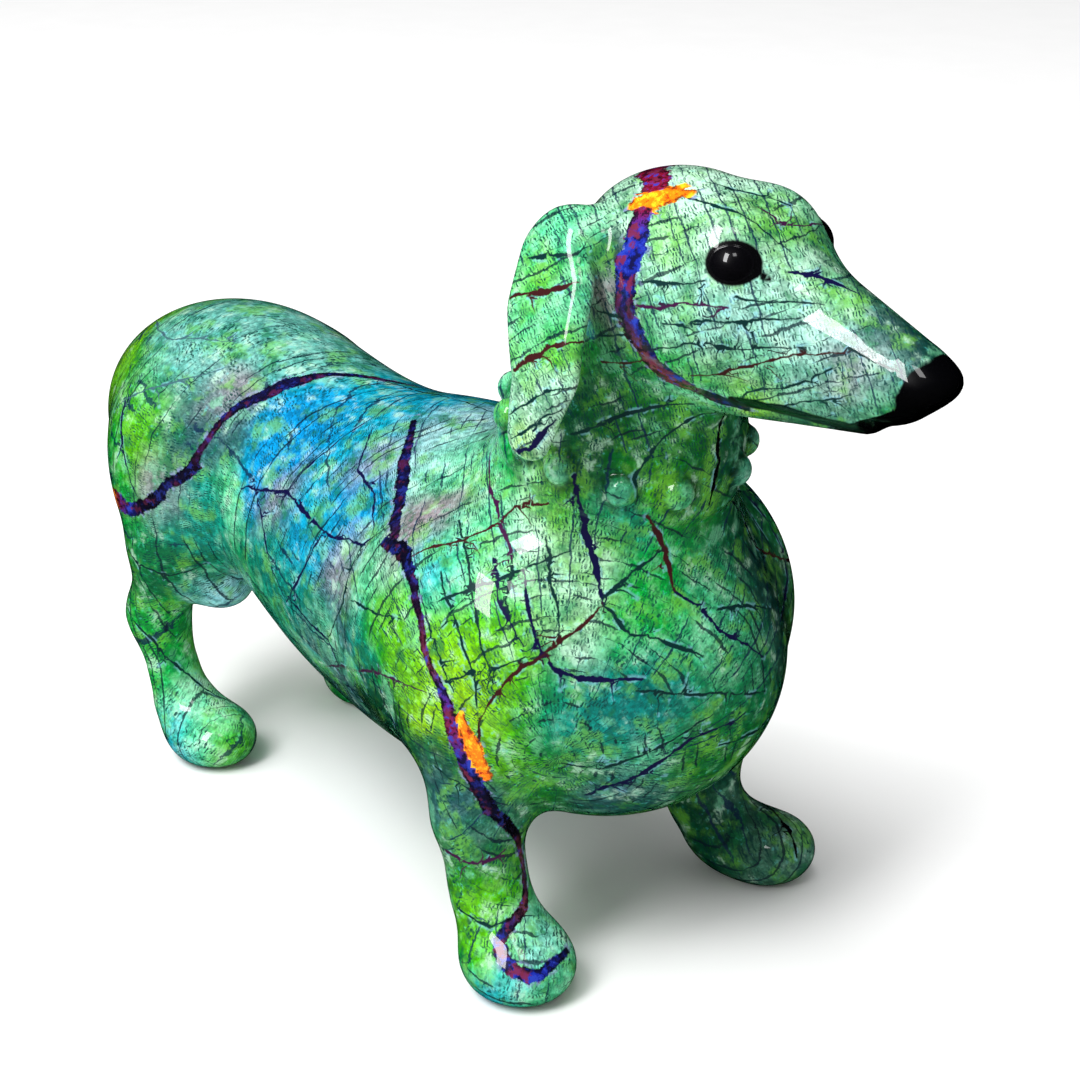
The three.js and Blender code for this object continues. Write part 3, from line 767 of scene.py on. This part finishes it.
# The veins are broad and many-coloured: each turning point has its own half width and ink.
ULTRA, CRIMSON, ORANGE, BROWN, BLACK = (22, 38, 150), (126, 14, 42), (255, 124, 8), (112, 58, 58), (6, 6, 14)
VEINS = [
    [(86, 6, 198, 3.2, NAVY), (90, -3, 199, 3.6, CRIMSON), (97, -9, 197, 3.0, CRIMSON)],
    [(98, -15, 194, 2.2, CRIMSON), (100, -18, 190, 2.8, ULTRA), (100, -21, 183, 3.4, ULTRA),
     (101, -23, 176, 3.0, NAVY), (103, -23, 170, 2.4, PLUM), (107, -21, 163, 2.5, BROWN),
     (110, -15, 156, 2.6, CRIMSON), (113, -11, 153, 2.3, NAVY), (120, -7, 152, 1.6, NAVY)],
    [(104, -24, 171, 1.8, ULTRA), (108, -21, 164, 1.8, NAVY), (112, -15, 157, 1.6, ULTRA)],
    [(10, -13, 122, 0.8, NAVY), (24, -27, 116, 2.0, NAVY), (34, -38, 109, 1.7, NAVY),
     (41, -43, 108, 1.1, PLUM)],
    [(38, -45, 107, 1.4, NAVY), (48, -47, 107, 2.1, BLACK), (56, -50, 105, 1.5, NAVY),
     (62, -53, 96, 1.0, PLUM), (68, -55, 85, 1.0, BROWN), (71, -54, 80, 1.5, ULTRA),
     (73, -54, 73, 2.0, CRIMSON), (74, -51, 62, 1.7, ULTRA), (76, -49, 54, 1.8, NAVY),
     (78, -43, 45, 1.3, BLACK)],
    [(-112, -29, 77, 3.4, ORANGE), (-96, -41, 80, 3.4, ORANGE), (-92, -42, 80, 3.2, CRIMSON),
     (-87, -43, 80, 2.6, ULTRA), (-82, -43, 81, 1.8, NAVY), (-76, -44, 84, 2.1, BLACK),
     (-66, -41, 92, 1.3, NAVY), (-60, -37, 97, 1.8, BLACK), (-58, -34, 104, 0.9, PLUM),
     (-55, -28, 111, 1.0, NAVY), (-50, -24, 116, 1.7, NAVY), (-43, -14, 120, 2.2, NAVY),
     (-37, -4, 122, 0.8, NAVY), (-30, 4, 122, 1.3, NAVY), (-18, 14, 121, 0.5, PLUM)],
    [(97.5, -14, 195.5, 2.6, ORANGE), (100.5, -11, 197, 3.6, ORANGE), (104.5, -8.5, 197, 1.4, ORANGE)],
    [(76, -53, 74, 1.6, ORANGE), (77, -52, 68, 2.6, ORANGE), (78, -49, 61, 1.8, ORANGE)],
]
PAW_VEIN = [(78, -43, 45, 1.2, BLACK), (78, -39, 39, 1.1, BLACK), (79, -38, 33, 1.0, BROWN),
            (81, -38, 27, 1.0, NAVY), (83, -41, 23, 1.2, BROWN), (84, -47, 20, 1.4, NAVY),
            (85, -51, 17, 1.6, ULTRA), (88, -53, 14, 1.8, ULTRA), (92, -51, 12, 1.7, ULTRA),
            (95, -46, 12, 1.4, ULTRA), (94, -38, 13, 0.8, NAVY)]
TRACE = 3.0                    # the step along a line when it is laid on the skin
REACH = 7.0                    # how far from a line its layer is worked out
LINE_SWAY = 0.9
OUT_RIGHT = -16                # a line that lies further right than this is repeated on the left
TWIG_CHANCE = 0.45             # of the values from -1 to 1, those below give no twig
TWIG_HALVES = (0.2, 0.15, 0.02)


def traced(turns, values, seed):
    """A line through the turning points in short steps, with values carried along it."""
    turns, values = np.array(turns, float), np.array(values, float)
    lengths = np.linalg.norm(np.diff(turns, axis=0), axis=1)
    at = np.concatenate([[0], np.cumsum(lengths)])
    steps = np.linspace(0, at[-1], max(int(at[-1] / TRACE), 2) + 1)
    line = np.stack([np.interp(steps, at, turns[:, i]) for i in range(3)], 1)
    line += LINE_SWAY * wander3(line, 6, seed) * np.minimum(steps, at[-1] - steps).clip(0, 3)[:, None] / 3
    return line, np.stack([np.interp(steps, at, values[:, i]) for i in range(values.shape[1])], 1)


def on_skin(traces):
    """Lays traced lines on the skin; each comes back with the normals along it."""
    ends = np.cumsum([len(line) for line, _ in traces])[:-1]
    laid = settle(dog_field, np.concatenate([line for line, _ in traces]), 3)
    upright = surface_normal(dog_field, laid)
    values = [carried for _, carried in traces]
    return list(zip(np.split(laid, ends), np.split(upright, ends), values))


def line_layer(p, lines):
    """For each point, how far it is across and from its nearest line, and what that line carries."""
    best = np.full(len(p), 1e3)
    across, away = np.full(len(p), 50.0), np.full(len(p), 50.0)
    carried = np.zeros((len(p), lines[0][2].shape[1]))
    for line, normal, values in lines:
        near = np.where(((p > line.min(0) - REACH) & (p < line.max(0) + REACH)).all(1))[0]
        for i in range(len(line) - 1):
            step = line[i + 1] - line[i]
            offset = p[near] - line[i]
            t = (offset @ step / (step @ step)).clip(0, 1)
            offset = offset - t[:, None] * step
            distance = np.linalg.norm(offset, axis=1)
            value = values[i] + t[:, None] * (values[i + 1] - values[i])
            better = distance - value[:, 0] < best[near]
            chosen = near[better]
            side = unit(np.cross(normal[i], step))
            best[chosen] = (distance - value[:, 0])[better]
            across[chosen] = (offset @ side)[better]
            away[chosen] = distance[better]
            carried[chosen] = value[better]
    return across, away, carried


def twigs(line, normal, values, seed):
    """Short hairlines that branch off a crack, now one way and now the other."""
    found = []
    for i in range(1, len(line) - 1):
        pick, lean, reach = (lattice(np.array([[i, seed, n]]), 3)[0] for n in range(3))
        if pick < TWIG_CHANCE:
            continue
        step = unit(line[i + 1] - line[i])
        side = np.cross(normal[i], step) * (1 if lean > 0 else -1)
        way = step * (0.9 - 0.5 * abs(lean)) + side * 0.7
        length = 4 + 2.5 * reach
        turns = [line[i], line[i] + way * length * 0.5 + step * 0.6, line[i] + way * length + side]
        found.append(traced(turns, [(half, *values[i, 1:]) for half in TWIG_HALVES], seed + 7 * i))
    return found


def both_sides(turns):
    """The turns as they are and, where all of them are well out on the right, their mirror image."""
    if max(y for _, y, _ in turns) > OUT_RIGHT:
        return [turns]
    return [turns, [(x, -y, z) for x, y, z in turns]]


def crack_lines():
    traces = []
    for i, (half, ink, turns) in enumerate(CRACKS):
        for places in both_sides(turns):
            line, values = traced(places, [(half, *linear(ink))] * len(turns), 100 + 3 * i)
            t = np.linspace(0, 1, len(line))
            values[:, 0] *= 0.3 + 0.52 * np.sin(np.pi * (0.14 + 0.84 * t)) + 0.25 * wander(line, 7, 90 + i)
            traces.append((line, values))
    cracks = on_skin(traces)
    small = [twig for i, crack in enumerate(cracks) for twig in twigs(*crack, 900 + 31 * i)]
    return cracks + on_skin(small)


def vein_lines():
    traces = []
    for i, turns in enumerate([*VEINS, PAW_VEIN]):
        values = [(half, *linear(ink)) for *_, half, ink in turns]
        places = [turn[:3] for turn in turns]
        for side in [places] if turns is PAW_VEIN else both_sides(places):
            traces.append(traced(side, values, 400 + 3 * i))
    return on_skin(traces)


CRACK_LINES = crack_lines()
VEIN_LINES = vein_lines()

# ---- the painted blacks: the nose leather, the lips and the rims of the eyes ----
# The lip line is black print along the mouth and also painted shade in the crease where the lip overhangs
# the jaw.
LIP_LINE = [(0, -10.4, -28.4), (5.7, -9.2, -28.9), (12.7, -7.9, -29.2), (17, -6.8, -29.9), (22, -5.6, -30.4),
            (28, -4.4, -30.4), (34, -3.4, -28.8)]
THREAD = 0.01                  # the radius of a line that only measures distance
LIP_CHAIN = [(*place, THREAD) for place in to_head(settle(core_field, from_head(LIP_LINE), 4))]
LIP_HALF = 1.7
RIM_AT = (EYE_AT[0] + 0.6, -EYE_AT[1], EYE_AT[2] + 0.2)
RIM_HALF = (6.3, 5, 4.9)
EYE_CORNER = [(5.5, -15, 3.2, THREAD), (10.3, -12.2, 1.2, THREAD)]
EYE_CORNER_HALF = 0.8
BLACK_ABOVE = 140              # only the head is painted black
BLACK_LIMIT = 4


def black_paint(p):
    """How far inside the painted black a point is, in millimetres; negative outside it."""
    q = to_head(p)
    side = np.abs(q[:, 1])
    folded = np.stack([q[:, 0], -side, q[:, 2]], 1)
    rough = 0.7 * wander(p, 2.2, 70)
    nose = (q[:, 0] - 0.46 * q[:, 2] - 50.5 - 1.5 * np.minimum(q[:, 2] + 23, 0)) / 1.1 + rough
    # the lip: black print, and painted shade in the mouth's crease
    lip = LIP_HALF - chain(folded, LIP_CHAIN, 0) + rough * 0.5
    rim = -ellipsoid(folded, RIM_AT, RIM_HALF, EYE_YAW)
    corner = EYE_CORNER_HALF - chain(folded, EYE_CORNER, 0)
    deepest = np.maximum.reduce([nose, lip, rim, corner])
    return np.where(p[:, 2] > BLACK_ABOVE, deepest, -BLACK_LIMIT).clip(-BLACK_LIMIT, BLACK_LIMIT)


FIELDS = {"FLOAT": "value", "FLOAT_VECTOR": "vector", "FLOAT_COLOR": "color"}


def paint(piece, name, skin):
    """Lays the print on a piece: the skin points come first, then the same points set back."""
    def store(layer, kind, *columns):
        values = np.column_stack(columns)
        both = np.concatenate([values, values]).astype(np.float32).ravel()
        piece.data.attributes.new(layer, kind, "POINT").data.foreach_set(FIELDS[kind], both)

    solid = np.ones(len(skin))
    store("place", "FLOAT_VECTOR", skin)
    store("grain", "FLOAT_VECTOR", grain(name, skin))
    store("sheet", "FLOAT", solid * (name in HEAD_SHEET))
    store("tone", "FLOAT_COLOR", tones(skin), solid)
    for layer, lines in (("crack", CRACK_LINES), ("vein", VEIN_LINES)):
        across, away, carried = line_layer(skin, lines)
        store(layer, "FLOAT_VECTOR", across, away, carried[:, 0])
        store(f"{layer}_ink", "FLOAT_COLOR", carried[:, 1:], solid)
    store("black", "FLOAT", black_paint(skin))


# ---- shader building ----
class Shading:
    """A new material and its nodes; each method below that adds a node gives its output socket."""

    def __init__(self, name):
        self.material = bpy.data.materials.new(name)
        self.material.use_nodes = True
        self.tree = self.material.node_tree
        self.shader = self.tree.nodes["Principled BSDF"]

    def node(self, kind, **settings):
        node = self.tree.nodes.new(f"ShaderNode{kind}")
        for key, value in settings.items():
            setattr(node, key, value)
        return node

    def feed(self, socket, value):
        if isinstance(value, bpy.types.NodeSocket):
            self.tree.links.new(value, socket)
        else:
            socket.default_value = value

    def attribute(self, name, output="Vector"):
        return self.node("Attribute", attribute_name=name).outputs[output]

    def parts(self, vector):
        node = self.node("SeparateXYZ")
        self.feed(node.inputs[0], vector)
        return node.outputs[0], node.outputs[1], node.outputs[2]

    def vector(self, x, y, z=0.0):
        node = self.node("CombineXYZ")
        for socket, value in zip(node.inputs, (x, y, z)):
            self.feed(socket, value)
        return node.outputs[0]

    def math(self, operation, *values):
        node = self.node("Math", operation=operation)
        for socket, value in zip(node.inputs, values):
            self.feed(socket, value)
        return node.outputs[0]

    def add(self, a, b):
        return self.math("ADD", a, b)

    def less(self, a, b):
        return self.math("SUBTRACT", a, b)

    def times(self, *values):
        return reduce(partial(self.math, "MULTIPLY"), values)

    def most(self, a, b):
        return self.math("MAXIMUM", a, b)

    def size_of(self, a):
        return self.math("ABSOLUTE", a)

    def ramp(self, value, low, high, start=0.0, end=1.0):
        """Eases from start to end as the value goes from low to high."""
        node = self.node("MapRange", interpolation_type="SMOOTHSTEP")
        for socket, given in zip(node.inputs, (value, low, high, start, end)):
            self.feed(socket, given)
        return node.outputs[0]

    def noise(self, vector, scale, detail=2.0, roughness=0.5):
        node = self.node("TexNoise")
        self.feed(node.inputs["Vector"], vector)
        self.feed(node.inputs["Scale"], scale)
        self.feed(node.inputs["Detail"], detail)
        self.feed(node.inputs["Roughness"], roughness)
        return node.outputs["Fac"]

    def chance(self, vector):
        node = self.node("TexWhiteNoise", noise_dimensions="3D")
        self.feed(node.inputs["Vector"], vector)
        return node.outputs["Value"]

    def mix(self, factor, a, b):
        node = self.node("Mix", data_type="RGBA", clamp_factor=True)
        self.feed(node.inputs[0], factor)
        self.feed(node.inputs[6], a)
        self.feed(node.inputs[7], b)
        return node.outputs[2]


def tone(colour):
    return (*linear(colour), 1.0)


HATCH_PITCH = 1.3              # between the rows of dabs
RAY_SPACING, RING_SPACING = 4.2, 3.8
RAY_REACH = 55.0               # the distance from the pith at which the rays are this far apart
CHECK_HALF = 0.34
HATCH_INK, RAY_INK, RING_INK = tone((6, 58, 56)), tone((10, 34, 66)), tone((8, 28, 44))
CRACK_HALO, VEIN_HALO = tone((130, 190, 215)), tone((140, 150, 200))
VEIN_BLUE, VEIN_DARK, VEIN_RED = tone((40, 60, 172)), tone((14, 10, 28)), tone((112, 36, 62))
FLAME, EMBER, LACQUER = tone((255, 196, 30)), tone((176, 24, 10)), tone((3, 3, 5))
EYE_BLACKS = tone((2, 2, 4)), tone((9, 8, 12))
BLACK_BLUR = 0.35              # the black's edge fades over twice this, in millimetres


def speckled(s, base, place):
    """The tones broken up into dabs of lime, mint, deep green and cyan."""
    middle = s.noise(place, 0.16, 4.0, 0.6)
    fine = s.noise(place, 0.6, 3.0, 0.6)
    shifted = s.noise(s.vector(*[s.add(part, 40.0) for part in s.parts(place)]), 0.11, 5.0, 0.6)
    bright = s.node("HueSaturation")
    s.feed(bright.inputs["Value"], s.ramp(s.add(middle, fine), 0.84, 1.16, 0.6, 1.18))
    s.feed(bright.inputs["Saturation"], s.ramp(middle, 0.36, 0.64, 1.28, 1.0))
    s.feed(bright.inputs["Color"], base)
    colour = s.mix(s.ramp(shifted, 0.56, 0.66, 0.0, 0.4), bright.outputs[0], tone(MINT))
    colour = s.mix(s.ramp(shifted, 0.49, 0.35, 0.0, 0.52), colour, tone(LEAF))
    colour = s.mix(s.ramp(middle, 0.58, 0.68, 0.0, 0.5), colour, tone(PALE))
    colour = s.mix(s.ramp(middle, 0.43, 0.33, 0.0, 0.6), colour, tone(FERN))
    return s.mix(s.ramp(fine, 0.6, 0.72, 0.0, 0.35), colour, tone(AQUA))


def sheet_run(s, grain_at, sheet, reach):
    """Distance along a ring: round the pith on the body, straight across on the head and ears."""
    east, north, _ = s.parts(grain_at)
    round_pith = s.times(s.math("ARCTAN2", north, east), reach)
    return s.add(s.times(east, sheet), s.times(round_pith, s.less(1.0, sheet)))


def hatched(s, colour, place, grain_at, sheet):
    """Growth rings as rows of short dark dabs, fading in and out over the sheet."""
    ring = s.parts(grain_at)[2]
    wobble = s.add(s.times(s.noise(place, 0.12, 2.0), 2.2), s.times(s.noise(place, 0.45, 2.0), 2.0))
    pitch = s.add(s.times(sheet, 0.05), HATCH_PITCH)
    row_at = s.math("DIVIDE", s.add(ring, wobble), pitch)
    row = s.math("FLOOR", row_at)
    in_row = s.size_of(s.add(s.math("FRACT", row_at), -0.5))
    along = sheet_run(s, grain_at, sheet, s.times(row, HATCH_PITCH))
    jitter = s.times(s.noise(place, 0.5, 2.0), 2.4)
    column_at = s.add(s.add(along, jitter), s.times(s.chance(s.vector(row, 3.0)), 0.5))
    in_column = s.size_of(s.add(s.math("FRACT", column_at), -0.5))
    drawn = s.chance(s.vector(row, s.math("FLOOR", column_at), 1.0))
    dab = s.times(s.ramp(in_column, 0.34, 0.14), s.ramp(in_row, 0.5, 0.28))
    dab = s.times(dab, s.ramp(drawn, 0.15, 0.5, 0.1, 1.0))
    line = s.times(s.ramp(in_row, 0.34, 0.46), s.ramp(s.noise(place, 0.4, 2.0), 0.48, 0.6, 0.1, 0.8))
    presence = s.ramp(s.noise(place, 0.13, 2.0), 0.38, 0.58, s.add(s.times(sheet, 0.4), 0.4), 1.0)
    broken = s.ramp(s.noise(place, 0.55, 4.0, 0.7), 0.4, 0.52, 0.4, 1.0)
    return s.mix(s.times(s.most(dab, line), presence, broken, 0.95), colour, HATCH_INK)


def hairline(s, place, over, along, spacing, seed):
    """Parallel checks, one to each strip of the given spacing, that come and go along it."""
    wave = s.add(s.times(s.noise(place, 0.16, 5.0, 0.65), spacing * 0.9), over)
    strip_at = s.math("DIVIDE", wave, spacing)
    strip = s.math("FLOOR", strip_at)
    middle = s.ramp(s.chance(s.vector(strip, seed)), 0.0, 1.0, 0.2, 0.8)
    off = s.size_of(s.less(s.math("FRACT", strip_at), middle))
    there = s.noise(s.vector(s.times(strip, 3.7), s.times(along, 0.045), seed), 1.0, 3.0, 0.6)
    width = s.times(s.ramp(there, 0.48, 0.62), CHECK_HALF)
    return s.ramp(s.less(s.times(off, spacing), width), 0.1, -0.1)


def checked(s, colour, place, grain_at, sheet):
    """Hairline checks that run along the rings and along the rays across them."""
    ring = s.parts(grain_at)[2]
    run = sheet_run(s, grain_at, sheet, RAY_REACH)
    rays = hairline(s, place, run, ring, RAY_SPACING, 1.0)
    rings = hairline(s, place, ring, run, RING_SPACING, 5.0)
    colour = s.mix(s.times(rays, 0.85), colour, RAY_INK)
    return s.mix(s.times(rings, 0.85), colour, RING_INK)


def cracked(s, colour, place):
    across, away, half = s.parts(s.attribute("crack"))
    rag = s.times(s.add(s.noise(place, 0.38, 5.0, 0.62), -0.5), s.add(s.times(half, 1.4), 1.1))
    swell = s.ramp(s.noise(place, 0.3, 3.0), 0.38, 0.62, 0.4, 1.25)
    edge = s.add(s.size_of(s.add(across, rag)), s.times(half, swell, -1.0))
    inside = s.times(s.ramp(edge, 0.22, -0.08), s.ramp(s.add(away, s.times(half, -1.0)), 1.1, 0.6))
    here = s.ramp(s.noise(place, 0.3, 2.0), 0.54, 0.62)
    halo = s.times(s.ramp(edge, 0.9, 0.2, 0.0, 0.4), s.ramp(away, 2.2, 1.4), here)
    colour = s.mix(halo, colour, CRACK_HALO)
    return s.mix(inside, colour, s.attribute("crack_ink", "Color"))


def veined(s, colour, place):
    across, away, half = s.parts(s.attribute("vein"))
    ink = s.attribute("vein_ink", "Color")
    rag = s.times(s.add(s.noise(place, 0.3, 6.0, 0.72), -0.5), s.add(s.times(half, 1.7), 0.9))
    edge = s.add(s.size_of(s.add(across, rag)), s.times(half, -1.0))
    inside = s.times(s.ramp(edge, 0.3, -0.1), s.ramp(s.add(away, s.times(half, -1.0)), 2.0, 1.2))
    mottle = s.noise(place, 0.42, 6.0, 0.68)
    red, green, blue = s.parts(ink)
    bright = s.ramp(s.most(red, blue), 0.04, 0.16, 0.3, 0.9)
    core = s.mix(s.times(s.ramp(mottle, 0.53, 0.6), bright), ink, VEIN_BLUE)
    core = s.mix(s.ramp(mottle, 0.49, 0.44, 0.0, 0.85), core, VEIN_DARK)
    fleck = s.ramp(s.noise(place, 0.3, 4.0, 0.6), 0.53, 0.6)
    core = s.mix(s.times(fleck, bright), core, VEIN_RED)
    hot = s.ramp(green, 0.08, 0.12)
    flame = s.mix(s.ramp(mottle, 0.5, 0.62), tone(ORANGE), FLAME)
    flame = s.mix(s.ramp(mottle, 0.46, 0.36), flame, EMBER)
    core = s.mix(hot, core, flame)
    core = s.mix(s.times(s.ramp(edge, -1.1, -0.3, 0.0, 0.75), s.ramp(mottle, 0.6, 0.45)), core, tone(BLACK))
    here = s.ramp(s.noise(place, 0.4, 3.0), 0.52, 0.62)
    halo = s.times(s.ramp(edge, 1.4, 0.2, 0.0, 0.6), s.ramp(away, 7.0, 5.0), here)
    colour = s.mix(halo, colour, VEIN_HALO)
    return s.mix(inside, colour, core)


GLAZE = {"Roughness": 0.38, "Specular IOR Level": 0.12, "Coat Weight": 1.0, "Coat Roughness": 0.025,
         "Coat IOR": 1.55}
GLAZE_WAVES = 0.0002


def gloss(s):
    for name, value in GLAZE.items():
        s.shader.inputs[name].default_value = value


def waviness(s, place, height):
    bump = s.node("Bump")
    s.feed(bump.inputs["Strength"], 1.0)
    s.feed(bump.inputs["Distance"], height)
    s.feed(bump.inputs["Height"], s.noise(place, 0.06, 2.0))
    s.feed(s.shader.inputs["Coat Normal"], bump.outputs["Normal"])


def printed_glaze():
    s = Shading("printed_glaze")
    place = s.attribute("place")
    grain_at = s.attribute("grain")
    sheet = s.attribute("sheet", "Fac")
    colour = speckled(s, s.attribute("tone", "Color"), place)
    colour = hatched(s, colour, place, grain_at, sheet)
    colour = checked(s, colour, place, grain_at, sheet)
    colour = cracked(s, colour, place)
    colour = veined(s, colour, place)
    black = s.ramp(s.attribute("black", "Fac"), -BLACK_BLUR, BLACK_BLUR)
    colour = s.mix(black, colour, LACQUER)
    s.feed(s.shader.inputs["Base Color"], colour)
    gloss(s)
    waviness(s, place, GLAZE_WAVES)
    return s.material


def black_glaze():
    s = Shading("black_glaze")
    where = s.node("TexCoord").outputs["Object"]
    depth = s.noise(where, 300.0, 3.0)
    s.feed(s.shader.inputs["Base Color"], s.mix(depth, *EYE_BLACKS))
    gloss(s)
    return s.material


# ---- floor and lights ----
FLOOR_SIZE = 8
FLOOR_WHITES = (0.88, 0.88, 0.88, 1), (0.92, 0.92, 0.92, 1)
FLOOR_ROUGHNESS = 0.8
SKY_STRENGTH = 0.46
LIGHTS_AIM = Vector((0, 0, 0.1))
# name: azimuth, elevation, distance, width, height (metres), power, whether the glaze mirrors it
SOFTBOXES = {
    "key": (8, 46, 1.2, 0.3, 0.75, 8.0, True),
    "fill": (60, 62, 1.3, 0.25, 0.25, 0.9, True),
    "overhead": (-20, 68, 3.2, 2.8, 2.8, 125, False),
}


def make_floor():
    bpy.ops.mesh.primitive_plane_add(size=FLOOR_SIZE)
    floor = bpy.context.object
    floor.name = "floor"
    s = Shading("floor")
    where = s.node("TexCoord").outputs["Object"]
    s.feed(s.shader.inputs["Base Color"], s.mix(s.noise(where, 30.0, 4.0), *FLOOR_WHITES))
    s.shader.inputs["Roughness"].default_value = FLOOR_ROUGHNESS
    floor.data.materials.append(s.material)
    floor.visible_glossy = False


def make_softbox(name, azimuth, elevation, distance, width, height, power, mirrored_in_glaze):
    data = bpy.data.lights.new(name, "AREA")
    data.shape = "RECTANGLE"
    data.size, data.size_y = width, height
    data.energy = power
    light = placed(name, data)
    back = direction(azimuth, elevation)
    light.location = LIGHTS_AIM + back * distance
    light.rotation_euler = back.to_track_quat("Z", "Y").to_euler()
    light.visible_glossy = mirrored_in_glaze


def make_studio():
    make_floor()
    for name, settings in SOFTBOXES.items():
        make_softbox(name, *settings)
    world = bpy.data.worlds.new("studio")
    world.use_nodes = True
    sky = world.node_tree.nodes["Background"].inputs
    sky["Color"].default_value = (1, 1, 1, 1)
    sky["Strength"].default_value = SKY_STRENGTH
    world.cycles_visibility.glossy = False
    bpy.context.scene.world = world
    bpy.context.scene.view_settings.view_transform = "Standard"


make_studio()

# ---- the pieces ----
PRINTED = printed_glaze()
BLACK_MATERIAL = black_glaze()


def finish_piece(piece, node, material):
    piece.data.materials.append(material)
    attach(piece, "root")
    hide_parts(node)


piece_names, piece_index = piece_of_faces(points[quads].mean(1))
for i, name in enumerate(piece_names):
    faces = quads[piece_index == i]
    piece, used = shell(f"{name}_glazed", points, faces, normals, SHELL_THICK.get(name, STUD_THICK))
    paint(piece, name, points[used])
    finish_piece(piece, name, PRINTED)

# ---- the eyes: a glossy dome on a black apron that follows the skin ----
EYE_RINGS = 40
EYE_SIDES = 72
EYE_REACH = (5.5, 4.5)         # half width and half height of the whole eye, out to the rim's foot
EYE_ROUNDS = 12                # steps that lay the eye on the skin
EYE_DEPTH = 1.6
EYE_TILT = 0.22                # how far the eye looks up
DOME_EDGE = 0.82               # where the dome meets the apron, as a fraction of the way out
DOME_HEIGHT = 1.25
APRON_HEIGHT = 0.2
APRON_EDGE = 0.9               # where the apron starts to sink into the skin


def eye_rise(t):
    """How far the eye stands off the skin at a fraction t of the way out."""
    dome = APRON_HEIGHT + DOME_HEIGHT * np.maximum(1 - (t / DOME_EDGE) ** 2, 0)
    return dome - ((t - APRON_EDGE) / (1 - APRON_EDGE)).clip(0, 1)


def eye_piece(side, node):
    yaw = math.radians(EYE_YAW)
    out = turned(np.array([[math.sin(yaw), side * math.cos(yaw), EYE_TILT]]), -HEAD_TURN)[0]
    out = unit(out)
    east = unit(np.cross([0, 0, 1], out))
    north = np.cross(out, east)
    centre = eye_centre(side)
    rows = []
    for t in np.linspace(0, 1, EYE_RINGS + 1)[1:]:
        turn = 2 * math.pi * np.arange(EYE_SIDES) / EYE_SIDES
        flat = np.outer(np.cos(turn) * t * EYE_REACH[0], east)
        flat += np.outer(np.sin(turn) * t * EYE_REACH[1], north)
        rows.append((flat, np.full(EYE_SIDES, t)))
    flat = np.concatenate([[np.zeros(3)], *[row for row, _ in rows]])
    t = np.concatenate([[0.0], *[values for _, values in rows]])
    skin = centre + flat
    for _ in range(EYE_ROUNDS):
        skin = skin - 0.9 * core_field(skin)[:, None] * out
    top = skin + out * eye_rise(t)[:, None]
    bottom = skin - out * EYE_DEPTH
    count = len(top)
    faces = [(0, 1 + i, 1 + (i + 1) % EYE_SIDES) for i in range(EYE_SIDES)]
    for ring in range(EYE_RINGS - 1):
        for i in range(EYE_SIDES):
            a, b = 1 + ring * EYE_SIDES + i, 1 + ring * EYE_SIDES + (i + 1) % EYE_SIDES
            faces.append((a, a + EYE_SIDES, b + EYE_SIDES, b))
    last = 1 + (EYE_RINGS - 1) * EYE_SIDES
    back = [tuple(count + v for v in reversed(face)) for face in faces]
    wall = [(last + i, count + last + i, count + last + (i + 1) % EYE_SIDES, last + (i + 1) % EYE_SIDES)
            for i in range(EYE_SIDES)]
    mesh = bpy.data.meshes.new(f"{node}_glossy")
    mesh.from_pydata(in_frame(np.concatenate([top, bottom])).tolist(), [], faces + wall + back)
    mesh.polygons.foreach_set("use_smooth", np.ones(len(mesh.polygons), bool))
    return placed(f"{node}_glossy", mesh)


for node, side in EYES.items():
    finish_piece(eye_piece(side, node), node, BLACK_MATERIAL)
